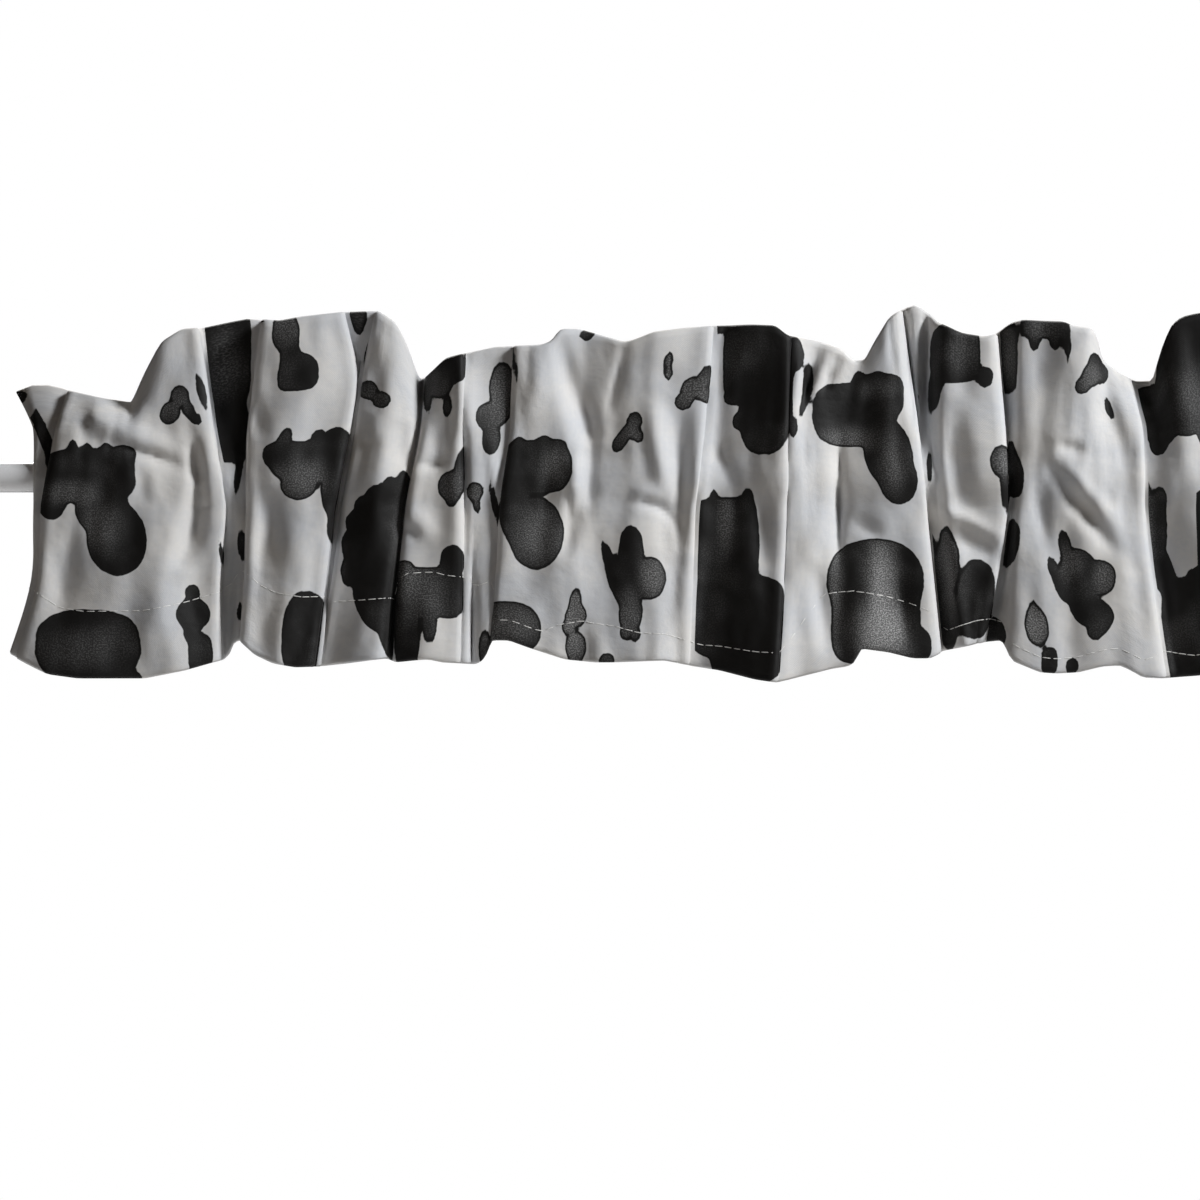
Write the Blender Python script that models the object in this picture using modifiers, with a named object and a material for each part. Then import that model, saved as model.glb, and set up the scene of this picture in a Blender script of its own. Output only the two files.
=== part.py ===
"""A gathered cotton window valance with a rod pocket, on a plain round curtain rod.

The cloth is one piece. It runs from the hem up the skirt, over the front of the rod, up the front of
the header, over the top and down behind again, to a narrow tail below the rod. Two lines of sewing,
one above and one below the rod, draw its front and its back together and leave the pocket between.

Frame: metres, +Z up, the front towards -Y. The origin is the middle of the rod's left end, and the
rod runs along +X. The tables are in millimetres.
"""

from typing import NamedTuple

import bmesh
import bpy
import numpy as np

MM = 0.001

ROD_LENGTH = 770.0
ROD_RADIUS = 8.0
ROD_SIDES = 48

CLOTH_THICKNESS = 1.0
CLOTH_START = 30.0  # from the rod's left end to the zero of the fold table's distances
SEWN_GAP = 2.1  # between the middles of the front and the back where they lie together
ROD_GAP = 0.55  # left between the rod and the front of the cloth where it lies on the rod
BACK_GAP = 1.4  # the same for the back of the pocket
SEAT_SEAM = -14.0  # height of the sewing line below the rod
NECK_SEAM = 12.0  # height of the sewing line above the rod
NECK_LINE = 23.5  # height at which the fold table's neck distances are taken
TAIL = 5.0  # of the back, below its sewing line

SEAM_SETBACK = 5.0  # how much nearer the rod's middle a sewing line lies than a crest over the rod
VALLEY_SETBACK = 7.0  # the same where a valley lies on the rod
HIGHEST_OUT = 24.0  # how far the boldest crest over the rod stands out
BACK_SHARE = 0.3  # of the front's unevenness that the back of the pocket shows
POCKET_ROUNDNESS = 3.0  # 2 is an ellipse, and a larger number is squarer

TALL_HEADER = 66.0  # top edge height that needs no leaning back
CURL_SHARE = 0.4  # how far a lower header leans back, for each millimetre that it is lower

TUCK_DEPTH = 8.0  # how far behind an edge the cloth tucked under it lies
# distance past the edge and share of that depth, from the cloth behind out to the cloth in front
TUCK_BENDS = ((-3.0, 0.9), (-1.2, 1.0), (0.6, 0.85), (0.55, 0.5), (0.5, 0.15), (2.5, 0.0))
TUCK_SOFTNESS = 0.8  # spread along the cloth of the rounding of a tuck's turns
OPEN_SOFTNESS = 3.5  # the same for the crests and troughs in the open
LOOSE_SOFTNESS = 6.0  # the same for the back of the pocket, where the tucks are drawn out
STEP = 0.05  # between the points, in millimetres and in levels, that give the cloth's slope
WIDEST_COLUMN = 11.0  # distance along the cloth between columns of points

COTTON = (0.78, 0.77, 0.75, 1.0)
COTTON_ROUGHNESS = 0.75
WHITE_PAINT = (0.82, 0.82, 0.83, 1.0)
PAINT_ROUGHNESS = 0.3
SHARP_ANGLE = 40.0


class Fold(NamedTuple):
    """One crest, edge or trough that runs down the cloth.

    top, neck, seat and hem are its distances along the rod, head, rod and foot say how far it stands
    out in front of the rod's middle, height and drop are the top edge above the rod's middle and the
    hem below it. With tuck 1 the fold is an edge that the cloth on its left runs in under, and with
    tuck -1 the cloth on its right does.
    """

    top: float
    neck: float
    seat: float
    hem: float
    head: float
    rod: float
    foot: float
    height: float
    drop: float
    tuck: int = 0


FOLDS = (
    # the left end
    Fold(6.5, 16.5, 16.5, 4.5, 0.5, 9.3, 1.0, 42.5, 88.0),
    Fold(33.0, 28.0, 20.5, 8.0, 8.0, 17.0, 9.5, 42.0, 88.5, 1),
    # first panel, with the low stretch of header beside the end
    Fold(50.0, 47.0, 44.0, 36.0, 7.0, 18.0, 15.0, 38.5, 100.5),
    Fold(65.5, 65.0, 66.0, 66.0, 7.0, 18.5, 17.0, 36.5, 100.5),
    Fold(80.5, 83.0, 86.0, 86.0, 11.0, 18.0, 16.0, 66.5, 98.0),
    Fold(99.0, 106.0, 114.5, 110.0, 11.0, 17.5, 13.0, 73.5, 92.0, -1),
    # narrow panel sunk between the first and the second
    Fold(112.0, 114.0, 118.5, 116.0, 5.0, 10.0, 1.0, 76.5, 82.0),
    # second panel
    Fold(131.0, 124.0, 123.5, 120.5, 10.0, 16.0, 8.0, 77.0, 82.0),
    Fold(150.0, 146.0, 142.0, 138.0, 13.0, 18.5, 16.0, 79.0, 93.5),
    Fold(170.0, 168.0, 162.5, 153.0, 12.0, 15.0, 13.0, 81.5, 94.5),
    # third panel
    Fold(188.0, 175.5, 170.5, 160.0, 11.0, 17.0, 11.0, 81.0, 94.5, 1),
    Fold(197.0, 193.0, 188.0, 177.0, 13.0, 18.5, 15.0, 76.0, 93.0),
    Fold(206.0, 205.0, 198.0, 190.0, 10.0, 14.0, 13.0, 54.0, 91.0),
    # fourth panel, which turns at a soft ridge and runs in under the fifth
    Fold(213.0, 211.0, 204.0, 197.0, 10.0, 17.0, 12.0, 48.5, 91.5, 1),
    Fold(222.0, 221.0, 218.0, 213.0, 13.0, 18.0, 16.0, 58.0, 91.0),
    Fold(231.5, 230.5, 232.0, 229.5, 14.0, 18.0, 16.0, 60.5, 93.0),
    Fold(248.0, 246.0, 243.0, 239.0, 9.0, 12.5, 6.0, 64.0, 93.0),
    # fifth panel, the widest, with a diagonal trough and a lit facet in its header
    Fold(257.0, 255.5, 250.5, 245.5, 10.0, 17.0, 8.5, 64.5, 83.0, 1),
    Fold(267.0, 267.0, 265.0, 264.0, 13.0, 18.0, 14.0, 64.5, 86.5),
    Fold(280.0, 283.0, 281.0, 283.0, 12.0, 17.0, 17.0, 73.0, 91.0),
    Fold(292.0, 294.0, 287.5, 296.0, 5.0, 13.5, 17.5, 72.5, 92.5),
    Fold(304.0, 303.0, 300.0, 306.0, 10.0, 16.5, 18.0, 68.5, 92.5),
    Fold(327.0, 325.0, 328.0, 328.0, 14.0, 19.0, 18.0, 71.5, 91.5),
    Fold(343.0, 341.0, 339.5, 337.0, 9.0, 14.0, 14.0, 74.0, 94.0),
    Fold(355.0, 350.5, 347.0, 344.0, 12.0, 17.0, 14.5, 74.5, 94.5),
    # sixth panel, which climbs from a narrow trough to the sharpest ridge
    Fold(360.0, 355.5, 352.0, 349.0, 7.0, 12.0, 9.5, 74.5, 95.5),
    Fold(374.0, 371.0, 369.0, 365.0, 12.0, 15.5, 15.0, 75.0, 98.5),
    Fold(395.0, 394.0, 393.5, 388.0, 19.0, 23.0, 26.0, 70.0, 102.5),
    # seventh panel, pleated above the rod, with a trough below it
    Fold(402.0, 400.0, 401.5, 398.0, 12.0, 19.0, 22.0, 68.0, 100.5),
    Fold(420.0, 411.0, 412.0, 416.0, 12.0, 17.5, 20.0, 63.0, 95.5),
    Fold(430.0, 424.0, 422.0, 428.5, 6.0, 10.5, 17.0, 57.5, 94.0),
    Fold(443.0, 441.0, 442.0, 445.0, 12.0, 18.5, 13.0, 76.0, 87.5),
    Fold(451.0, 459.0, 462.5, 470.5, 11.0, 17.0, 11.0, 83.0, 88.5, -1),
    # eighth panel, beyond narrow pleats sunk behind the seventh
    Fold(465.0, 466.0, 469.5, 477.5, 4.0, 9.5, 1.5, 79.0, 85.0),
    Fold(474.0, 472.0, 475.0, 485.0, 12.0, 16.5, 7.5, 74.0, 84.0),
    Fold(484.0, 483.0, 486.0, 489.5, 8.5, 14.0, 9.0, 70.0, 83.0),
    Fold(498.5, 500.5, 501.5, 494.0, 11.0, 15.0, 10.0, 69.5, 82.0),
    Fold(505.5, 506.0, 507.0, 499.5, 5.0, 10.5, 3.5, 76.0, 81.5),
    # ninth panel, in two halves above the rod
    Fold(511.0, 511.0, 512.0, 505.5, 11.0, 15.5, 11.0, 77.5, 90.5),
    Fold(522.0, 520.5, 520.0, 516.0, 12.0, 18.0, 15.5, 77.0, 96.5),
    Fold(532.0, 529.0, 527.0, 526.5, 7.0, 15.0, 16.0, 76.0, 98.0),
    Fold(547.0, 544.0, 541.0, 544.0, 14.0, 19.5, 18.0, 72.0, 96.5),
    Fold(554.0, 556.0, 556.0, 563.0, 12.0, 18.0, 17.0, 57.0, 94.5),
    Fold(566.0, 571.5, 571.5, 582.5, 10.0, 17.0, 17.0, 48.5, 99.5, -1),
    # tenth panel
    Fold(577.0, 580.0, 579.5, 589.5, 5.0, 13.0, 11.0, 47.5, 100.5),
    Fold(587.0, 591.0, 590.5, 599.0, 12.0, 18.5, 16.0, 75.0, 100.0),
    Fold(603.0, 605.0, 605.0, 610.0, 13.0, 19.0, 18.0, 81.0, 98.0),
    Fold(618.0, 620.0, 622.0, 626.0, 11.0, 17.0, 13.0, 80.0, 95.0),
    Fold(624.0, 626.0, 628.0, 632.0, 5.0, 11.0, 6.0, 77.0, 92.0),
    # the last two panels and the right end
    Fold(633.0, 633.0, 635.0, 640.0, 12.0, 17.0, 13.0, 74.0, 91.0),
    Fold(645.0, 645.0, 646.0, 650.0, 14.0, 19.0, 17.0, 70.0, 93.0),
    Fold(659.0, 658.0, 658.0, 661.0, 5.0, 10.5, 7.0, 68.0, 92.0),
    Fold(673.0, 671.0, 670.0, 675.0, 12.0, 18.0, 15.0, 72.0, 95.0),
    Fold(690.0, 687.0, 685.0, 694.0, 6.0, 11.0, 8.0, 68.0, 95.0),
)

# Levels that the fold table gives, and the stations between them where the cloth's points lie.
HEM, SEAT, NECK, TOP = 0.0, 1.0, 2.0, 3.0
SEAM_LEVEL = SEAT + (NECK_SEAM - SEAT_SEAM) / (NECK_LINE - SEAT_SEAM)
HEAD_LEVEL = 2.4  # where the fold table's head distances hold
BEND_LEVELS = 0.2  # spread in levels of the rounding where a fold changes its course
LEAN_LEVELS = 0.12  # the same where the cloth leans further out or back
SKIRT_LEVELS = (0.0, 0.36, 0.74, 1.0)
HEADER_LEVELS = (SEAM_LEVEL, 2.1, 2.55, 3.0)
FRONT_ANGLES = (-50.0, -18.0, 18.0, 50.0)
BACK_ANGLES = (-50.0, -12.0, 26.0, 56.0)


def tucked(fold):
    """The turns of the cloth at an edge that other cloth runs in behind: two rounded bends."""
    deepest = max(fold.rod - TUCK_DEPTH, ROD_RADIUS + ROD_GAP + CLOTH_THICKNESS / 2)
    return [
        fold._replace(
            top=fold.top + fold.tuck * across,
            neck=fold.neck + fold.tuck * across,
            seat=fold.seat + fold.tuck * across,
            hem=fold.hem + fold.tuck * across,
            head=fold.head - share * TUCK_DEPTH,
            rod=fold.rod + share * (deepest - fold.rod),
            foot=fold.foot - share * TUCK_DEPTH,
        )
        for across, share in TUCK_BENDS[:: fold.tuck]
    ]


def turns():
    """Every turn of the cloth from left to right."""
    return [turn for fold in FOLDS for turn in (tucked(fold) if fold.tuck else [fold])]


def eased(at, values, where, spread):
    """Straight stretches through values at the places at, with their corners rounded over spread."""
    steps = np.linspace(-1.5, 1.5, 9)
    shares = np.exp(-(steps**2))
    ends = [2 * at[0] - at[1], *at, 2 * at[-1] - at[-2]]
    reach = [2 * values[0] - values[1], *values, 2 * values[-1] - values[-2]]
    found = sum(share * np.interp(where + step * spread, ends, reach) for step, share in zip(steps, shares))
    return found / shares.sum()


def seam_out(rod):
    """How far out a sewing line lies, where the cloth over the rod stands rod out."""
    crest_share = np.clip((rod - ROD_RADIUS) / (HIGHEST_OUT - ROD_RADIUS), 0.0, 1.0)
    return rod - VALLEY_SETBACK + (VALLEY_SETBACK - SEAM_SETBACK) * crest_share


class Cloth:
    """The middle surface of the gathered cloth, worked out from the fold table."""

    def __init__(self, folds):
        self.folds = folds
        self.softness = [TUCK_SOFTNESS if fold.tuck else OPEN_SOFTNESS for fold in folds]
        self.along = self.lengths()

    def level(self, level):
        """Distance along the rod, distance out and height of every turn at one level."""
        f = np.array(self.folds).T
        top, neck, seat, hem, head, rod, foot, height, drop = f[:9]
        curl = CURL_SHARE * np.maximum(TALL_HEADER - height, 0.0)
        seam = seam_out(rod)
        x = [eased([HEM, SEAT, NECK, TOP], xs, level, BEND_LEVELS) for xs in zip(hem, seat, neck, top)]
        outs = zip(foot, seam, seam, head, head - curl)
        y = [eased([HEM, SEAT, SEAM_LEVEL, HEAD_LEVEL, TOP], ys, level, LEAN_LEVELS) for ys in outs]
        z = [
            np.interp(level, [HEM, SEAT, NECK, TOP], [-down, SEAT_SEAM, NECK_LINE, up])
            for down, up in zip(drop, height)
        ]
        return np.array([x, y, z])

    def lengths(self):
        """Distance of every turn along the flat cloth: the mean of its distances at three levels."""
        spans = [np.hypot(*np.diff(self.level(level)[:2])) for level in (HEM, SEAT, HEAD_LEVEL)]
        return np.concatenate([[0.0], np.cumsum(np.mean(spans, axis=0))])

    def line(self, level, along, softness=None):
        """Points of the cloth at one level, at the distances along."""
        if softness is None:
            softness = np.interp(along, self.along, self.softness)
        return np.array([eased(self.along, v, along, softness) for v in self.level(level)]).T

    def columns(self):
        """Distances along the cloth of its columns of points: every turn, and places in between."""
        parts = np.ceil(np.diff(self.along) / WIDEST_COLUMN).astype(int)
        spans = zip(self.along[:-1], self.along[1:], parts)
        places = [np.linspace(start, end, count, endpoint=False) for start, end, count in spans]
        return np.concatenate([*places, self.along[-1:]])

    def sheet(self, levels, along, side):
        """Rows of points at these levels, half the sewn gap before the middle (side 1) or behind (-1)."""
        rows = []
        for level in levels:
            across = self.line(level, along + STEP) - self.line(level, along - STEP)
            up = self.line(min(level + STEP, TOP), along) - self.line(max(level - STEP, HEM), along)
            out = np.cross(up, across)
            out /= np.linalg.norm(out, axis=1, keepdims=True)
            rows.append(self.line(level, along) + side * SEWN_GAP / 2 * out)
        return np.array(rows)

    def pocket(self, seat, neck, along, side):
        """Rows of points round the rod, from the seat row to the neck row, before it (side 1) or behind."""
        half = CLOTH_THICKNESS / 2
        rods = np.array([fold.rod for fold in self.folds])
        if side > 0:
            angles = FRONT_ANGLES
            middles = (seat, neck)
            rod = eased(self.along, rods, along, np.interp(along, self.along, self.softness))
            furthest = np.maximum(rod, ROD_RADIUS + ROD_GAP + half)
        else:
            angles = BACK_ANGLES
            middles = [self.line(level, along, LOOSE_SOFTNESS) for level in (SEAT, SEAM_LEVEL)]
            rod = eased(self.along, rods, along, LOOSE_SOFTNESS)
            furthest = -(ROD_RADIUS + BACK_GAP + half) - BACK_SHARE * (HIGHEST_OUT - rod)
        rows = []
        for angle in np.radians(angles):
            rise = (np.sign(angle) * abs(np.sin(angle)) ** (2 / POCKET_ROUNDNESS) + 1) / 2
            bulge = abs(np.cos(angle)) ** (2 / POCKET_ROUNDNESS)
            seam = seat + (neck - seat) * rise
            middle = middles[0] + (middles[1] - middles[0]) * rise
            middle[:, 1] = furthest
            rows.append(seam + (middle - seam) * bulge)
        return rows

    def rows(self, along):
        """Every row of the cloth's points, from the hem over the top to the tail."""
        skirt = self.sheet(SKIRT_LEVELS, along, 1)
        header = self.sheet(HEADER_LEVELS, along, 1)
        lining = self.sheet(HEADER_LEVELS[::-1], along, -1)
        behind = self.sheet(SKIRT_LEVELS[-2:], along, -1)
        crown = (header[-1] + lining[0]) / 2 + [0.0, 0.0, SEWN_GAP / 2]
        down = behind[0] - behind[1]
        tail = behind[1] + down * TAIL / np.linalg.norm(down, axis=1, keepdims=True)
        front = self.pocket(skirt[-1], header[0], along, 1)
        back = self.pocket(behind[1], lining[-1], along, -1)
        return np.array([*skirt, *front, *header, crown, *lining, *back[::-1], behind[1], tail])


def material(name, colour, roughness):
    """A plain material that isn't metallic."""
    made = bpy.data.materials.new(name)
    made.use_nodes = True
    shader = made.node_tree.nodes["Principled BSDF"]
    shader.inputs["Base Color"].default_value = colour
    shader.inputs["Roughness"].default_value = roughness
    shader.inputs["Metallic"].default_value = 0.0
    return made


def add_rod(collection):
    """The curtain rod, a plain round bar along +X from the origin."""
    mesh = bpy.data.meshes.new("rod")
    shape = bmesh.new()
    bmesh.ops.create_cone(
        shape,
        cap_ends=True,
        segments=ROD_SIDES,
        radius1=ROD_RADIUS * MM,
        radius2=ROD_RADIUS * MM,
        depth=ROD_LENGTH * MM,
    )
    shape.to_mesh(mesh)
    shape.free()
    mesh.shade_smooth()
    mesh.set_sharp_from_angle(angle=np.radians(SHARP_ANGLE))
    rod = bpy.data.objects.new("rod", mesh)
    rod.location.x = ROD_LENGTH * MM / 2
    rod.rotation_euler.y = np.radians(90.0)
    rod.data.materials.append(material("rod_white_paint", WHITE_PAINT, PAINT_ROUGHNESS))
    collection.objects.link(rod)


def add_cloth(collection):
    """The valance: a grid moved onto the gathered cloth's middle surface, and Solidify on it."""
    cloth = Cloth(turns())
    rows = cloth.rows(cloth.columns())
    mesh = bpy.data.meshes.new("valance")
    shape = bmesh.new()
    across, down = rows.shape[1] - 1, rows.shape[0] - 1
    grid = bmesh.ops.create_grid(shape, x_segments=across, y_segments=down, size=1.0)
    for vertex, (along, out, up) in zip(grid["verts"], rows.reshape(-1, 3)):
        vertex.co = ((CLOTH_START + along) * MM, -out * MM, up * MM)
    shape.to_mesh(mesh)
    shape.free()
    mesh.shade_smooth()
    valance = bpy.data.objects.new("valance", mesh)
    valance.data.materials.append(material("valance_cotton", COTTON, COTTON_ROUGHNESS))
    thickness = valance.modifiers.new("cloth thickness", "SOLIDIFY")
    thickness.thickness = CLOTH_THICKNESS * MM
    thickness.offset = 0.0
    cut = valance.modifiers.new("short diagonals", "TRIANGULATE")
    cut.quad_method = "SHORTEST_DIAGONAL"
    collection.objects.link(valance)


def main():
    for obj in list(bpy.data.objects):
        bpy.data.objects.remove(obj, do_unlink=True)
    collection = bpy.data.collections.new("window valance on a curtain rod")
    bpy.context.scene.collection.children.link(collection)
    add_rod(collection)
    add_cloth(collection)


if __name__ == "__main__":
    main()
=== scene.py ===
"""A gathered cow-print window valance on a white curtain rod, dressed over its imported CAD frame.

The cloth is one thin sheet. It runs from the raw edge of its turned-up hem down to the hem's fold, up
the skirt, over the front of the rod, up the header, over the top and down behind to a narrow tail.
Distances in the tables are in millimetres: along the rod from the cloth's left end, and up or down
from the rod's middle. The scene is in metres, +Z up, with the valance facing -Y.
"""

from __future__ import annotations

import logging
import math
from collections.abc import Iterable
from dataclasses import dataclass, field
from enum import Enum
from typing import NamedTuple

import bpy
import numpy as np
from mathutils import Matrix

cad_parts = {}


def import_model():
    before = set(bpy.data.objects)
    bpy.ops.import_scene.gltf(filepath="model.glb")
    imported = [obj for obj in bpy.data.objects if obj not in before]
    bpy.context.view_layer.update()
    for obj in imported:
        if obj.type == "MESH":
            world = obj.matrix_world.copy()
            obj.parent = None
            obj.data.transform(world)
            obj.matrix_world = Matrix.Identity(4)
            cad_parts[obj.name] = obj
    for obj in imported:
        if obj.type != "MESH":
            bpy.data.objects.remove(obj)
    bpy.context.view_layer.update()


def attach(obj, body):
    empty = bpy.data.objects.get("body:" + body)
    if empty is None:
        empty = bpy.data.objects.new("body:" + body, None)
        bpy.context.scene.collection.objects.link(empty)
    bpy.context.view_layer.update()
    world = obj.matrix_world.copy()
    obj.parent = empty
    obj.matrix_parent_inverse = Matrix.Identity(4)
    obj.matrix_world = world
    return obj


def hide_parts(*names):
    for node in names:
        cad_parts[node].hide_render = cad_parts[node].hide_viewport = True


LOG = logging.getLogger("valance")
MM = 0.001
Color = tuple[float, float, float, float]


class Panel(Enum):
    """Stretches of cloth between one folded edge and the next, from left to right."""

    END = 0
    FIRST = 1
    SUNKEN = 2
    SECOND = 3
    RECESS = 4
    THIRD = 5
    FOURTH = 6
    FIFTH = 7
    SIXTH = 8
    SEVENTH = 9
    EIGHTH = 10
    NINTH = 11
    TENTH = 12
    LAST = 13


class Fold(NamedTuple):
    """One crest, edge or trough that runs down the cloth.

    top, neck, seat and hem are its distances along the rod at four heights, and head, rod and foot say
    how far it stands out above, on and below the rod. With tuck 1 the cloth on its left runs in under
    the edge, and with tuck -1 the cloth on its right does, deep millimetres behind. soft is how far its
    turn is rounded, and brow and knee move it sideways half-way up the header and half-way down the skirt.
    """

    top: float
    neck: float
    seat: float
    hem: float
    head: float
    rod: float
    foot: float
    tuck: int = 0
    deep: float = 8.0
    soft: float = 3.0
    brow: float = 0.0
    knee: float = 0.0


class Turn(NamedTuple):
    """Every turn of the cloth, with a tuck's bends among them: an array for each column of the table."""

    top: np.ndarray
    neck: np.ndarray
    seat: np.ndarray
    hem: np.ndarray
    head: np.ndarray
    rod: np.ndarray
    foot: np.ndarray
    soft: np.ndarray
    brow: np.ndarray
    knee: np.ndarray


class Crease(NamedTuple):
    """A soft ridge, or with depth below zero a trough, between two places on the front of the cloth.

    x0, z0 and x1, z1 are its ends, width is how far it spreads to each side, depth how far it stands
    out, bow how far its middle swings to its left, and crisp 1 for a sharp crest and 2 for a round one.
    """

    x0: float
    z0: float
    x1: float
    z1: float
    width: float
    depth: float
    bow: float = 0.0
    crisp: float = 2.0


class Blot(NamedTuple):
    """One rounded piece of a printed spot: its middle, half sizes, lean to the right and squareness."""

    x: float
    z: float
    across: float
    up: float
    lean: float = 0.0
    square: float = 2.0


class PaintedSheenPatch(NamedTuple):
    """A patch of painted sheen, where the black print is painted grey as if light caught it: its middle, half
    sizes and how strongly it is greyed.
    """

    x: float
    z: float
    across: float
    up: float
    sheen_amount: float


class Level(NamedTuple):
    """A height on the cloth at a distance along the rod."""

    x: float
    height: float


FOLDS = (
    # the left end
    Fold(6.5, 16.5, 16.5, 4.5, -5.5, 8.9, -3, brow=0.5, knee=7),
    Fold(33, 28, 20.5, 8, 9, 16, 9.5, 1, 10, knee=6),
    # first panel, with the low stretch of header beside the end
    Fold(50, 48, 44, 36, 11.5, 19, 15),
    Fold(65.5, 65, 66, 66, 8.5, 18.5, 17),
    Fold(73, 75, 78, 78, 9.5, 18, 17),
    Fold(82.5, 85, 88, 88, 11, 18, 16.5),
    Fold(99, 106, 113, 110, 11, 16.5, 12.5, -1, 20, knee=-3),
    # narrow panel sunk between the first and the second
    Fold(112, 113.5, 117.5, 114.5, -2, 8.9, -4.5, soft=0.9),
    # second panel
    Fold(131, 124, 123.5, 120.5, 12, 18, 15.5, 1, 18.5, knee=1.2),
    Fold(150, 146, 142, 138, 14, 19, 16.5),
    Fold(171.5, 174.5, 167, 156.5, 12, 16, 14, -1, 7, brow=6),
    # third panel
    Fold(188, 178.5, 171.5, 160.5, 10, 16, 8, 1, 4, brow=-1),
    Fold(197, 193, 188, 177, 14, 19, 15),
    Fold(206, 205, 198, 190, 10.5, 15, 17),
    # fourth panel, whose right edge lies over the fifth
    Fold(213, 211, 204, 197, 10, 17, 12, 1, knee=-1.5),
    Fold(222, 221, 218, 213, 13, 18, 16),
    Fold(231.5, 230.5, 231.5, 229.5, 14, 18, 16, -1, 4.5),
    Fold(237, 236.5, 236.5, 235, 12, 14.5, 5, soft=1.2),
    Fold(247.5, 246, 242, 239.5, 10, 15.5, 10, soft=1.5),
    # sixth panel, the widest, with a diagonal trough and a lit facet in its header
    Fold(257, 256, 250.5, 246, 12.5, 18.5, 14, 1, 3.6, knee=0.5),
    Fold(267, 267, 265, 264, 13, 18, 15),
    Fold(280, 283, 281, 283, 12, 17, 17),
    Fold(292, 294, 290, 296, 8, 14.5, 17.5),
    Fold(304, 303, 300, 306, 10, 16.5, 18),
    Fold(327, 325, 328, 328, 14, 19, 18),
    Fold(343, 341, 339.5, 337, 11, 15.5, 15),
    Fold(356, 351.5, 347, 344, 12, 17, 14.5, -1, 3),
    # seventh panel, which climbs from a narrow trough to the sharpest ridge
    Fold(362, 358, 354, 351, 8, 13, 10.5),
    Fold(374, 371, 369, 365, 12, 15.5, 15),
    Fold(395, 393.5, 393, 388, 19, 23, 26, -1, 2.5, knee=0.5),
    # eighth panel, pleated above the rod, with a trough below it
    Fold(402, 400, 401.5, 398, 13, 19, 21),
    Fold(420, 411, 412, 416, 12, 17.5, 20),
    Fold(430, 424, 422, 428.5, 8, 11.5, 17),
    Fold(443, 441, 442, 445, 12, 18.5, 13),
    Fold(451, 459, 462.5, 470.5, 11, 17, 11, -1, 21),
    # ninth panel, beyond narrow pleats sunk behind the eighth
    Fold(465, 466, 469.5, 477.5, 0, 9.5, -2, soft=0.9),
    Fold(473, 472, 475, 484, 13, 16.5, 8),
    Fold(484, 483, 486, 488, 9.5, 14.5, 9),
    Fold(498.5, 502.5, 504, 492, 11, 15, 10, -1, 12, knee=1),
    Fold(504, 506, 508, 498, 3, 10, 0, soft=0.9, knee=1),
    # tenth panel, in two halves above the rod
    Fold(510.5, 510, 510, 505, 10, 15, 11, soft=1.2),
    Fold(522, 520, 518.5, 516, 11, 17, 14.5),
    Fold(533, 529.5, 526.5, 526.5, 15, 19.5, 16.5, soft=1.2),
    Fold(545, 544, 541, 544, 13, 18.5, 18),
    Fold(552, 554, 555, 560, 12.5, 18, 17),
    Fold(566, 571.5, 571.5, 582.5, 10, 17, 17, -1, 6, knee=-1),
    # the last panels and the right end
    Fold(577, 580, 579.5, 589.5, 5, 13, 11),
    Fold(582, 586, 586, 594, 9, 16.5, 14),
    Fold(590, 593, 593, 601, 12, 18.5, 16),
    Fold(603, 605, 605, 610, 13, 19, 18),
    Fold(618, 620, 622, 626, 11, 17, 13),
    Fold(624, 626, 628, 632, 5, 11, 6),
    Fold(633, 633, 635, 640, 12, 17, 13),
    Fold(645, 645, 646, 650, 14, 19, 17),
    Fold(659, 658, 658, 661, 5, 10.5, 7),
    Fold(673, 671, 670, 675, 12, 18, 15),
    Fold(690, 687, 685, 694, 6, 11, 8),
)

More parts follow.
